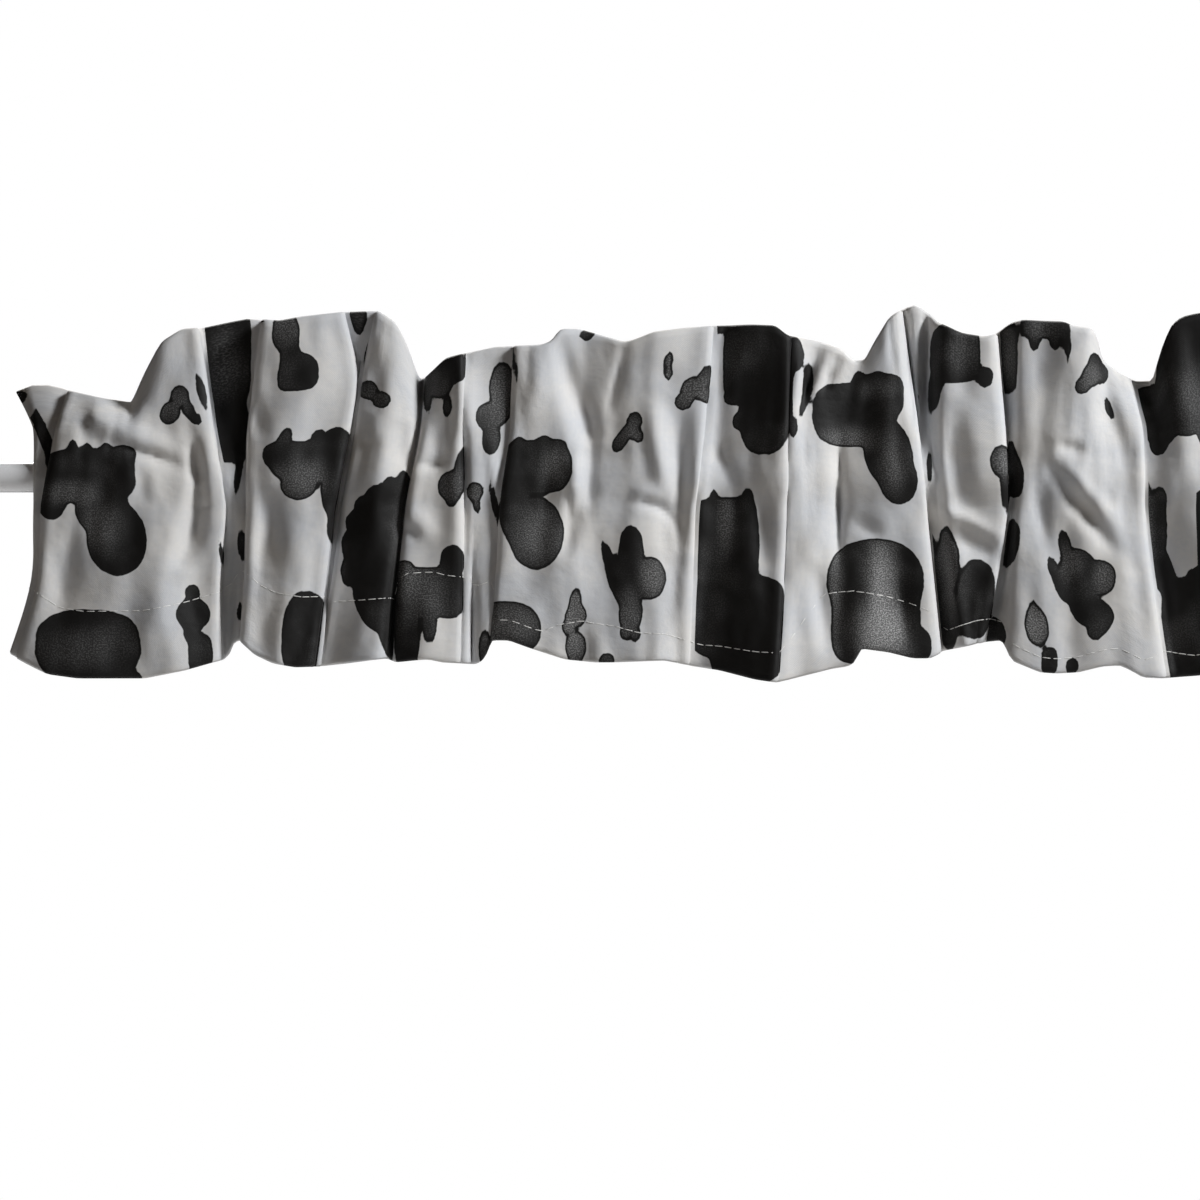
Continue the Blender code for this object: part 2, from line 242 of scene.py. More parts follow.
CREASES = (
    # first panel
    Crease(40, 40, 52, 14, 6.5, -1.9, 0.5), Crease(46, 32, 66, 27, 5, 1.4),
    Crease(54, 18, 95, 5, 3.6, -2.3, 1.5, 1.6), Crease(60, 26, 92, 14, 6, 1.5),
    Crease(98, 20, 103, -10, 3.6, -3.4), Crease(103, -2, 91, -46, 5.2, -4, 2),
    Crease(104, 20, 106, -28, 3.5, 1.4, 0.5), Crease(73, 8, 74, -14, 4, -0.9),
    Crease(22, -16, 46, -70, 12, -0.9),
    # second and third panels
    Crease(129, 44, 132, 20, 4, -1.6), Crease(137, -2, 136, -46, 5, -1.8, 1.5),
    Crease(127, 10, 128, -60, 3, 1), Crease(152, -20, 150, -50, 7, 1), Crease(186, 72, 187, 50, 5, -1.4),
    Crease(190, 38, 188, 18, 6, 1.6), Crease(203, 30, 202, 6, 4, -1.2),
    # fourth and fifth panels
    Crease(209, 7, 226, 8, 2.6, -1.6, -0.6, 1.6), Crease(207, -14, 222, -32, 6, 1.4),
    Crease(203, -23, 212, -30, 3.5, -1.2), Crease(233.5, 28, 233.5, -45, 2.4, -1.6, 0.5),
    Crease(246, 22, 249, -12, 2.2, 1.2), Crease(233.5, 72, 235.5, 20, 4.5, 3.2),
    # sixth panel
    Crease(283, 74, 301, 18, 6, -3.2, -3), Crease(314, 68, 305.5, 30, 2.6, -1.6, 0, 1.3),
    Crease(298, 28, 297, -14, 4.6, -2.6), Crease(288, -4, 285, -42, 4.2, -2.6, 1),
    Crease(291, 12, 290, -20, 4, 1.3), Crease(329, 43, 339, -14, 4.5, 2.2, -2),
    Crease(338, 44, 344, -38, 6.5, -3.4, 3), Crease(320, -11, 340, -22, 2.8, -2, 2.4, 1.5),
    Crease(318, -6, 334, -8, 4, 1.2),
    # seventh and eighth panels
    Crease(360, 20, 371, -7, 4.5, -1.2), Crease(382, 2, 384, -46, 4.5, -1.5),
    Crease(421, 20, 420.5, -42, 2.3, -3.6), Crease(411, 66, 401, 34, 2.3, -2.4, 0, 1.4),
    Crease(421, 62, 412, 42, 2.3, -2.4, 0, 1.4), Crease(405, 68, 398, 38, 2.4, 1.5),
    Crease(416, 64, 407, 38, 2.2, 1.4), Crease(428, -18, 443, -30, 4.5, -1.3),
    Crease(409, -40, 416, -90, 4.6, -2.8, 1), Crease(420, -34, 424, -90, 5, -1.6),
    Crease(437, -38, 440, -88, 6, 1.2), Crease(451, -44, 455, -82, 3.5, -1.2),
    # pleats sunk beyond the eighth panel
    Crease(453, 90, 458, 26, 2, -3, 0, 1.5), Crease(458.5, 90, 461, 24, 2, 2.6, 0, 1.5),
    Crease(464.5, 90, 464, 14, 2, -3.4, 0, 1.5), Crease(468.5, 84, 467, 24, 1.8, 1.8, 0, 1.5),
    # ninth panel
    Crease(476, 44, 486, -18, 6, -2.2, -1.6), Crease(489, 40, 493, -14, 5.5, 1.2),
    Crease(469, 10, 472, -20, 5, -1.3), Crease(468, -14, 504, -31, 3.4, 1.6, 1.6, 1.5),
    Crease(472, -25, 506, -40, 6, -1.6, 1),
    # tenth panel
    Crease(535, 62, 533, 20, 4, -1.2), Crease(521, 14, 528, -46, 4.5, -1.5, -1),
    Crease(530, 16, 545, 13, 3.6, -1.6, 1), Crease(525, 10, 564, -40, 4.4, -2.1, -1.2),
    Crease(533, 10, 562, -24, 3.5, 1.2, -1), Crease(554, 42, 568, 0, 5, -1.6, 1.5),
)

PRINT: dict[Panel, tuple[Blot, ...]] = {
    Panel.END: (
        Blot(9.5, 41.5, 4.2, 4.2), Blot(16.5, 30, 2.6, 6, -25), Blot(21, 21, 2.8, 10, -18),
        Blot(24.5, 10, 2.2, 8),
    ),
    Panel.FIRST: (
        # mitten
        Blot(44, 0.5, 24, 13.5, 0, 3.2), Blot(26, -9, 8.2, 12.5), Blot(51, -16, 13.5, 13),
        Blot(58.5, -31, 15.2, 18.6, -8), Blot(36.5, 14.2, 2.4, 4.2), Blot(43.5, 13.6, 2.3, 3.6),
        Blot(53, 13.2, 3.2, 3.8), Blot(62, 11.5, 6.2, 4.6),
        # small clover and the wedge beside it
        Blot(89.9, 40.7, 4.7, 5.4), Blot(84.8, 32, 4.9, 6.2, 18), Blot(94.2, 34, 2.8, 4.6, -20),
        Blot(97.6, 28.8, 2.4, 3.8, -50), Blot(100.6, 42.5, 2.1, 9.6, -14),
        # peg
        Blot(96.2, -57.8, 3.8, 4.2), Blot(96.6, -68.6, 8.5, 8.2), Blot(95.5, -78, 3.6, 6),
        Blot(100.2, -88.6, 6.2, 10.5, 0, 2.5), Blot(110.4, -38, 1, 8, -8),
        # dome
        Blot(44, -84.5, 26.6, 18.2, 0, 2.7), Blot(65, -100.5, 6, 4),
    ),
    Panel.SUNKEN: (
        # trunk
        Blot(111, 62, 14, 25, 0, 4.5), Blot(114.5, 28, 8.6, 21, -4, 3.5),
        Blot(122.4, 23.5, 3.2, 8.6, -4), Blot(118.6, 0, 1.7, 9, 8), Blot(120.8, -34, 2.5, 8, -4),
        Blot(119.3, -67.5, 1.5, 5),
    ),
    Panel.SECOND: (
        Blot(129, 78, 3, 1.3),
        # drip
        Blot(143, 72, 7, 9.5, 0, 2.6), Blot(145.5, 60, 5, 7), Blot(149.5, 52.5, 10, 9.4, 0, 2.6),
        Blot(142.8, 48, 4, 5, 0, 2.6),
        # crown with its tail
        Blot(155, 7.5, 20.5, 10.6, 0, 2.6), Blot(171, 3, 9, 18, 10, 2.6), Blot(136, 11.5, 4.6, 5.5, 20),
        Blot(142, 18, 3.4, 7, 22), Blot(159.5, 19.2, 4, 4.6), Blot(168.6, 19, 5.5, 6),
        Blot(149.5, -4, 9, 7.6), Blot(168, -8, 7, 11, 8), Blot(167.4, -19, 3.6, 15, 6),
        # spot at the hem
        Blot(152.5, -80, 11.6, 23, 3, 2.5),
    ),
    Panel.RECESS: (
        Blot(177, 80.5, 6.5, 4.2, 0, 2.5), Blot(179.2, 75.5, 2.6, 4), Blot(184, 62, 1.8, 8.5, 12),
    ),
    Panel.THIRD: (
        Blot(184, 43.6, 5.2, 4.8), Blot(190.8, 38.4, 4.7, 4.3, -20),
        # scalloped spot
        Blot(190.5, -33, 15.4, 25, 0, 2.3), Blot(197, -14, 9, 11), Blot(201.8, -4, 3.6, 7.4),
        Blot(195.2, -4.6, 3.6, 5), Blot(188.2, -8.6, 4.6, 4.6), Blot(181.4, -14.6, 4.4, 4.8),
        Blot(177, -22.4, 4.2, 4.8), Blot(174.8, -33.4, 4.2, 7), Blot(174.6, -47, 4.4, 8),
        Blot(190, -60, 13, 19, -16), Blot(196, -80, 6, 15, -14),
    ),
    Panel.FOURTH: (
        Blot(218.5, 48.5, 8.5, 8.6, 24, 2.6), Blot(228, 56, 6.4, 9, 14, 2.6), Blot(213.8, 41, 2.3, 9),
        Blot(223.7, 35, 2.3, 5.4, 4), Blot(225.4, -4.6, 6.6, 7.4, 10), Blot(230, 4, 2.8, 11, 8),
        Blot(225.8, -11, 2.8, 4),
        # spot across the hem's stitching
        Blot(226.2, -42, 6.2, 8.4), Blot(215, -57.5, 17, 12.6, 0, 3.6), Blot(202, -46, 5, 4.4, -20),
        Blot(203.5, -77, 6.4, 20, 0, 3), Blot(214.6, -74, 3.6, 9.6, -4),
        Blot(225.5, -62, 6, 8.4, 0, 2.6),
    ),
    Panel.FIFTH: (
        Blot(237.4, -7.4, 4.1, 5), Blot(238.4, -14.6, 1.7, 3.6, -14), Blot(250.6, 45.6, 6.2, 12.4, 4),
        Blot(250.4, 34, 5.2, 8), Blot(244, 30, 6.2, 7), Blot(245.6, 19, 4.6, 8, 6),
        Blot(247.3, -13, 1.7, 12, -10), Blot(242.6, -86, 3.3, 9.6),
    ),
    Panel.SIXTH: (
        Blot(257.6, 56, 1.3, 9, -3), Blot(293.6, 71.6, 4.2, 1.9), Blot(293, 69.6, 1.6, 1.5),
        # crown over a round lobe
        Blot(268.5, 5, 17, 13.6, 0, 2.4), Blot(257, -1, 8.5, 17), Blot(278.4, 5.4, 7.4, 11.4),
        Blot(268, -28, 14, 18.4), Blot(257, -19, 7.4, 12.6), Blot(259.6, 17, 2.8, 3),
        Blot(271.8, 17.4, 3.6, 3.4), Blot(279, 15, 4, 3.6),
        # half dome at the hem
        Blot(253, -76, 17.6, 14, 0, 2.3),
        # small tree
        Blot(287.8, -62, 3, 6.6, 4), Blot(288, -69, 5.4, 6), Blot(284.4, -75, 3.4, 4),
        Blot(287.8, -85, 5.4, 8.4), Blot(303.3, -91.6, 3.9, 3.7),
        # clover
        Blot(317.4, 28.4, 3.9, 4.4), Blot(310, 17.6, 3.4, 6, 28), Blot(314.4, 23, 3.2, 4.4, 30),
        Blot(319, 20.4, 2.9, 3.6, -20),
        # peanut and bean
        Blot(334.8, 59.4, 2.1, 3.4), Blot(333.4, 55.4, 1.7, 3.4), Blot(334.4, 51.4, 2, 3.2),
        Blot(341.8, 37.8, 4.6, 4.4), Blot(346, 44.4, 5.4, 5.6, 20), Blot(352.4, 49.6, 3.4, 6.8, 16),
        Blot(352.6, 41, 3.2, 4.2),
        # bird
        Blot(303.6, -39, 2.5, 7.6, -16), Blot(315.6, -36.4, 6.2, 12.4), Blot(308.6, -51, 5, 11, -18),
        Blot(314, -52, 7.6, 13), Blot(324.6, -50.6, 8.4, 10.8), Blot(315.4, -68, 6, 10, 4),
        Blot(312.6, -77.6, 2.7, 4.2), Blot(317.8, -78.6, 2.3, 3.9),
    ),
    Panel.SEVENTH: (
        # trunk
        Blot(378.5, 57, 17, 21, 0, 4), Blot(381.5, 30, 11.6, 19, -2, 2.8), Blot(358, 75, 6, 3.4),
        Blot(365.4, 39.6, 3.4, 3.4), Blot(370.4, 28, 4.2, 4.8), Blot(390, 48, 8, 27, 0, 4),
        # trousers
        Blot(362.4, -33, 16.4, 23, -2, 4.2), Blot(368.5, -70, 24, 21, 0, 4.2),
        Blot(373, -88, 18, 16, -6, 3), Blot(357, -9.6, 1.7, 3.8), Blot(374.4, -10.6, 2.1, 4.4),
        Blot(375, -26, 4, 18, -5),
    ),
    Panel.EIGHTH: (
        Blot(396.6, 61, 5.2, 9), Blot(395.8, 24.6, 2.7, 5.6), Blot(404, 48, 2.7, 9.4, 4),
        Blot(402, 38, 1.7, 7, 14),
        # mitten
        Blot(427, 31, 20, 16, 0, 2.8), Blot(440, 40, 12, 12, 0, 2.6), Blot(415.4, 32, 8.8, 14),
        Blot(429.6, 48.6, 3.4, 4.6), Blot(438.6, 48.4, 3.8, 4.4), Blot(447, 46, 4, 4.6),
        Blot(444, 12, 12, 18, -12), Blot(449, -1.6, 9.6, 12.2, -6),
        # dome
        Blot(437.6, -52, 24.4, 21.2, 0, 2.2), Blot(438, -75, 22.6, 19, 0, 4),
        Blot(457, -84, 9, 9, 0, 2.5),
    ),
    Panel.NINTH: (
        Blot(457.4, 37.4, 2.4, 5.4, 0, 2.6), Blot(452.6, 72, 1.3, 5, -8),
        Blot(478, 62, 12.4, 15, 0, 3.2), Blot(468.4, 47, 3.2, 15, 8), Blot(492.6, 50, 4.1, 5.4),
        Blot(500.4, 8, 5.6, 8), Blot(502.4, -6, 2.4, 12, -4), Blot(464.9, 5, 1.3, 9),
        Blot(466.6, -42, 2.2, 16, -4), Blot(473.6, -45, 6.2, 17, 3), Blot(472.8, -30, 2.2, 5),
        Blot(474.6, -70, 5, 17, -3), Blot(487.8, -61, 9.6, 20, 4, 2.5),
    ),
    Panel.TENTH: (
        Blot(503.6, 60, 5.6, 18, 0, 4), Blot(507, 1.6, 5, 12, -6), Blot(505.4, 12, 2.6, 6),
        Blot(505.2, -33, 4.6, 12, 8), Blot(496, -79, 7.4, 9.6),
        # fringe along the top edge
        Blot(521.8, 75, 11.4, 5.6, 0, 4), Blot(517.4, 68, 2.7, 5), Blot(527.4, 69.4, 2.5, 5.6),
        Blot(531.6, 71, 1.6, 5.4), Blot(534, 63, 1.3, 6.8, 5),
        # bean and leaf
        Blot(541, 45.6, 3.9, 4.4, 24), Blot(545.6, 51, 4.8, 5.6), Blot(547.2, 57.6, 3.4, 4.4),
        Blot(551.4, 51.6, 3.2, 4.6), Blot(554.8, 34, 1.9, 6.2, -18),
        # bird
        Blot(532.4, -34.4, 3.2, 8, -10), Blot(539, -46, 8.6, 10.6, -14), Blot(550, -50.4, 7.8, 9),
        Blot(526.4, -45.6, 2.6, 6, -18), Blot(534, -55, 6.4, 10, -28), Blot(543, -65, 8, 10, -24),
        Blot(551.6, -70, 5.2, 7), Blot(547.6, -76.4, 4.4, 5.4),
        # small spots at the hem
        Blot(518.2, -74.6, 6, 10.2, -8), Blot(516.4, -66, 2, 4.6), Blot(524.6, -92, 4.2, 6.8, 0, 3),
        Blot(536, -94.6, 3.2, 4.6, 8),
    ),
    Panel.LAST: (
        # trunk
        Blot(597, 54, 18, 31, 4, 3), Blot(576, 37, 9.8, 8.6, 0, 2.6), Blot(580.4, 26, 8, 11),
        Blot(579.4, 15.6, 4.2, 5), Blot(593, 29, 11, 8.6),
        # scalloped arm and trousers
        Blot(577.2, -25, 6.6, 18, -2, 2.5), Blot(580.6, -11, 2.8, 5.4), Blot(573.8, -5.4, 1, 5.6, -4),
        Blot(571.6, -16, 3.2, 6), Blot(572.6, -29, 3, 7.4), Blot(580.6, -46, 6.4, 14, -20),
        Blot(600, -78, 19.4, 28, 0, 4.2), Blot(595.6, -50, 1.8, 4),
    ),
}

# patches of painted sheen: the black print painted grey where light would catch its gloss
PAINTED_SHEEN_PATCHES = (
    PaintedSheenPatch(36, -8, 13, 6, 0.55), PaintedSheenPatch(52, -24, 9, 12, 0.45), PaintedSheenPatch(38, -86, 22, 10, 0.3),
    PaintedSheenPatch(86, 37, 8, 9, 0.5), PaintedSheenPatch(112, 58, 7, 16, 0.45), PaintedSheenPatch(143, 74, 7, 8, 0.5),
    PaintedSheenPatch(150, -2, 14, 9, 0.6), PaintedSheenPatch(188, 41, 9, 7, 0.4), PaintedSheenPatch(203, -38, 6, 22, 0.5),
    PaintedSheenPatch(212, -56, 12, 12, 0.45), PaintedSheenPatch(218, 46, 7, 8, 0.3), PaintedSheenPatch(225, -4, 6, 8, 0.45),
    PaintedSheenPatch(249, 40, 8, 20, 0.55), PaintedSheenPatch(238, -8, 5, 7, 0.55), PaintedSheenPatch(269, -30, 12, 14, 0.65),
    PaintedSheenPatch(278, 6, 6, 9, 0.55), PaintedSheenPatch(252, -74, 16, 10, 0.7), PaintedSheenPatch(287, -72, 8, 22, 1),
    PaintedSheenPatch(315, 22, 8, 9, 0.5), PaintedSheenPatch(326, -50, 6, 11, 0.9), PaintedSheenPatch(314, -68, 6, 12, 0.4),
    PaintedSheenPatch(346, 42, 9, 10, 0.6), PaintedSheenPatch(334, 55, 3, 8, 0.6), PaintedSheenPatch(363, -20, 4, 16, 0.6),
    PaintedSheenPatch(372, 64, 12, 10, 0.2), PaintedSheenPatch(424, 19, 14, 6, 0.6), PaintedSheenPatch(446, 6, 7, 14, 0.6),
    PaintedSheenPatch(439, 44, 10, 5, 0.3), PaintedSheenPatch(418, -52, 4, 34, 0.55), PaintedSheenPatch(440, -48, 8, 16, 0.95),
    PaintedSheenPatch(440, -76, 13, 15, 1.3), PaintedSheenPatch(474, -46, 5, 26, 0.65), PaintedSheenPatch(482, 62, 9, 10, 0.3),
    PaintedSheenPatch(504, 62, 4, 14, 0.5), PaintedSheenPatch(503, 8, 6, 9, 0.5), PaintedSheenPatch(520, 74, 9, 5, 0.4),
    PaintedSheenPatch(518, -72, 7, 14, 1.1), PaintedSheenPatch(535, -42, 6, 9, 0.6), PaintedSheenPatch(552, -50, 5, 9, 0.7),
    PaintedSheenPatch(545, 50, 6, 8, 0.45), PaintedSheenPatch(573, -22, 4, 18, 0.5), PaintedSheenPatch(596, 40, 9, 14, 0.3),
)

# the top edge of the header
TOP_EDGE = (
    Level(6.5, 42.5), Level(13.5, 45.5), Level(24, 45.5), Level(33.5, 42.5), Level(51, 38.5),
    Level(65.5, 36.5), Level(72.5, 51.5), Level(80.5, 66.5), Level(91, 73), Level(99, 73.5),
    Level(112.5, 76.5), Level(122.5, 78.5), Level(139.5, 77), Level(150, 79), Level(171.5, 81.5),
    Level(189, 82), Level(198, 76), Level(203.5, 63.5), Level(208, 49), Level(212, 48.5),
    Level(223, 58.5), Level(231.5, 60.5), Level(247.5, 64), Level(258.5, 64.5), Level(271, 65),
    Level(276, 67), Level(280, 73), Level(289.5, 73), Level(298.5, 70.5), Level(312, 66.5),
    Level(317, 67.5), Level(327, 71.5), Level(343, 73.5), Level(356, 74.5), Level(375, 75),
    Level(387.5, 74.5), Level(393.5, 69.5), Level(410, 66.5), Level(420.5, 63), Level(426.5, 57),
    Level(433, 57.5), Level(438, 67.5), Level(444.5, 78.5), Level(450.5, 82.5), Level(457.5, 85.5),
    Level(463.5, 82.5), Level(469, 76.5), Level(480.5, 71), Level(492.5, 69), Level(498.5, 70.5),
    Level(505.5, 76), Level(510.5, 77.5), Level(532, 76.5), Level(536, 74.5), Level(547, 73),
    Level(549, 67.5), Level(549.5, 59.5), Level(560, 51), Level(569, 47), Level(578.5, 47.5),
    Level(580.5, 59.5), Level(585.5, 74.5), Level(591, 79), Level(600, 81), Level(618, 80),
    Level(628, 77), Level(640, 74), Level(655, 70), Level(670, 71), Level(694, 67),
)

# the fold of the hem
HEM_EDGE = (
    Level(4.5, -88.5), Level(13.5, -93.5), Level(24, -98.5), Level(39, -100.5), Level(72.5, -100.5),
    Level(92.5, -96.5), Level(110, -91.5), Level(114, -89), Level(117, -81.5), Level(120, -81.5),
    Level(127, -88.5), Level(136.5, -93), Level(147.5, -95), Level(160.5, -94.5), Level(174, -93),
    Level(192.5, -90.5), Level(198, -92.5), Level(207.5, -91.5), Level(214.5, -91), Level(221, -92.5),
    Level(238.5, -93.5), Level(242.5, -90.5), Level(245.5, -81.5), Level(254.5, -81.5), Level(264, -85),
    Level(282.5, -91), Level(297.5, -92.5), Level(306.5, -92.5), Level(332, -91.5), Level(347, -94.5),
    Level(360, -96.5), Level(377.5, -101), Level(388, -102.5), Level(400.5, -99.5), Level(416.5, -95.5),
    Level(424, -94.5), Level(428.5, -91.5), Level(429, -85.5), Level(444.5, -87.5), Level(456.5, -90.5),
    Level(465.5, -90.5), Level(471.5, -87), Level(483.5, -84.5), Level(491.5, -82.5),
    Level(502.5, -81.5), Level(505.5, -91.5), Level(520, -97.5), Level(528, -98), Level(539, -97.5),
    Level(551, -94.5), Level(560, -94), Level(567, -97.5), Level(571, -100), Level(581.5, -100.5),
    Level(600, -99), Level(614, -97), Level(630, -92.5), Level(645, -93), Level(661, -92),
    Level(678, -95), Level(694, -95),
)

# how far above the fold the hem is sewn
HEM_HEIGHTS = (
    Level(4, 33), Level(110, 34), Level(118, 35), Level(158, 35), Level(162, 32), Level(195, 30),
    Level(199, 44), Level(231, 43), Level(235, 40), Level(243, 38), Level(248, 10), Level(271, 10),
    Level(281, 17), Level(292, 20), Level(308, 18), Level(320, 14), Level(344, 12), Level(350, 11),
    Level(388, 14.5), Level(400, 27), Level(412, 37.5), Level(424, 37), Level(427, 35), Level(428.5, 32),
    Level(430.5, 28.4), Level(457, 27.5), Level(466, 24), Level(476, 9.5), Level(492, 12), Level(505, 8),
    Level(530, 7), Level(575, 9), Level(583, 13.5), Level(598, 10), Level(640, 12), Level(694, 12),
)


def deselect() -> None:
    """Leaves nothing selected, in object mode."""
    bpy.ops.object.select_all(action="DESELECT")


def link(name: str, data: bpy.types.ID) -> bpy.types.Object:
    """Puts a new object in the scene.

    Args:
        name: Its name.
        data: Its mesh, light or camera.

    Returns:
        The object, at the origin.
    """
    made = bpy.data.objects.new(name, data)
    bpy.context.scene.collection.objects.link(made)
    return made


def pick_ends(axis: int) -> None:
    """Goes into edit mode with only the two ends of the active cylinder selected.

    Args:
        axis: Number of the axis along which it lies.
    """
    bpy.ops.object.mode_set(mode="EDIT")
    bpy.ops.mesh.select_all(action="DESELECT")
    bpy.ops.object.mode_set(mode="OBJECT")
    for face in bpy.context.active_object.data.polygons:
        face.select = abs(face.normal[axis]) > 0.9
    bpy.ops.object.mode_set(mode="EDIT")
    bpy.ops.mesh.select_mode(type="FACE")


def unit(vectors: np.ndarray) -> np.ndarray:
    """Vectors, one a row, at a length of 1."""
    return vectors / np.linalg.norm(vectors, axis=1, keepdims=True)


class Graph:
    """Makes the nodes of one procedural material."""

    def __init__(self, name: str) -> None:
        """Starts a material that has only its shader.

        Args:
            name: Name of the new material.
        """
        self.material = bpy.data.materials.new(name)
        self.material.use_nodes = True
        self.tree = self.material.node_tree
        self.shader = self.tree.nodes["Principled BSDF"]

    def node(self, kind: str, **settings: object) -> bpy.types.Node:
        """Adds a node.

        Args:
            kind: The node's type, without its ShaderNode prefix.
            **settings: Properties of the node.

        Returns:
            The new node.
        """
        made = self.tree.nodes.new(f"ShaderNode{kind}")
        for key, value in settings.items():
            setattr(made, key, value)
        return made

    def feed(self, sockets: Iterable[bpy.types.NodeSocket], *values: object) -> None:
        """Links each socket to an output, or sets its value.

        Args:
            sockets: The inputs.
            *values: An output, a number or a colour for each, as far as they go.
        """
        for socket, value in zip(sockets, values):
            if isinstance(value, bpy.types.NodeSocket):
                self.tree.links.new(value, socket)
            else:
                socket.default_value = value

    def dress(self, looks: dict[str, object]) -> bpy.types.Material:
        """Feeds the shader's own sockets, named in looks, and returns the finished material."""
        self.feed((self.shader.inputs[name] for name in looks), *looks.values())
        return self.material

    def axes(self, place: bpy.types.NodeSocket) -> bpy.types.bpy_prop_collection:
        """Splits a place.

        Args:
            place: The place.

        Returns:
            Its X, Y and Z.
        """
        made = self.node("SeparateXYZ")
        self.feed(made.inputs, place)
        return made.outputs

    def math(self, operation: str, *values: object) -> bpy.types.NodeSocket:
        """Adds a Math node.

        Args:
            operation: What it works out.
            *values: Its inputs, in order.

        Returns:
            Its result.
        """
        made = self.node("Math", operation=operation)
        self.feed(made.inputs, *values)
        return made.outputs["Value"]

    def mix(self, share: object, first: object, second: object) -> bpy.types.NodeSocket:
        """Mixes two colours.

        Args:
            share: Share of the second, from 0 to 1.
            first: The first colour.
            second: The second colour.

        Returns:
            The mixed colour.
        """
        made = self.node("Mix", data_type="RGBA")
        self.feed((made.inputs[0], made.inputs[6], made.inputs[7]), share, first, second)
        return made.outputs[2]

    def noise(self, place: object, scale: float, detail: float = 2.0) -> bpy.types.NodeSocket:
        """Adds a noise texture.

        Args:
            place: Where on the piece it is read.
            scale: Its turns a metre.
            detail: How many finer layers it has.

        Returns:
            Its value, from 0 to 1.
        """
        made = self.node("TexNoise")
        self.feed((made.inputs[name] for name in ("Vector", "Scale", "Detail")), place, scale, detail)
        return made.outputs["Fac"]

    def ramp(
        self, value: object, low: float, high: float, start: float = 0.0, end: float = 1.0
    ) -> bpy.types.NodeSocket:
        """Maps a value smoothly from one range onto another.

        Args:
            value: The value.
            low: Where its range starts.
            high: Where its range ends.
            start: What low becomes.
            end: What high becomes.

        Returns:
            The mapped value.
        """
        made = self.node("MapRange", interpolation_type="SMOOTHSTEP")
        self.feed(made.inputs, value, low, high, start, end)
        return made.outputs["Result"]

    def bump(self, height: object, share: float, rise: float, *below: object) -> bpy.types.NodeSocket:
        """Adds a bump.

        Args:
            height: Height from 0 to 1.
            share: Share of the bump that shows.
            rise: Height in metres that 1 stands for.
            *below: Normal of a bump under this one, if there is one.

        Returns:
            The bumped normal.
        """
        made = self.node("Bump")
        names = ("Strength", "Distance", "Height", "Normal")
        self.feed((made.inputs[name] for name in names), share, rise, height, *below)
        return made.outputs["Normal"]


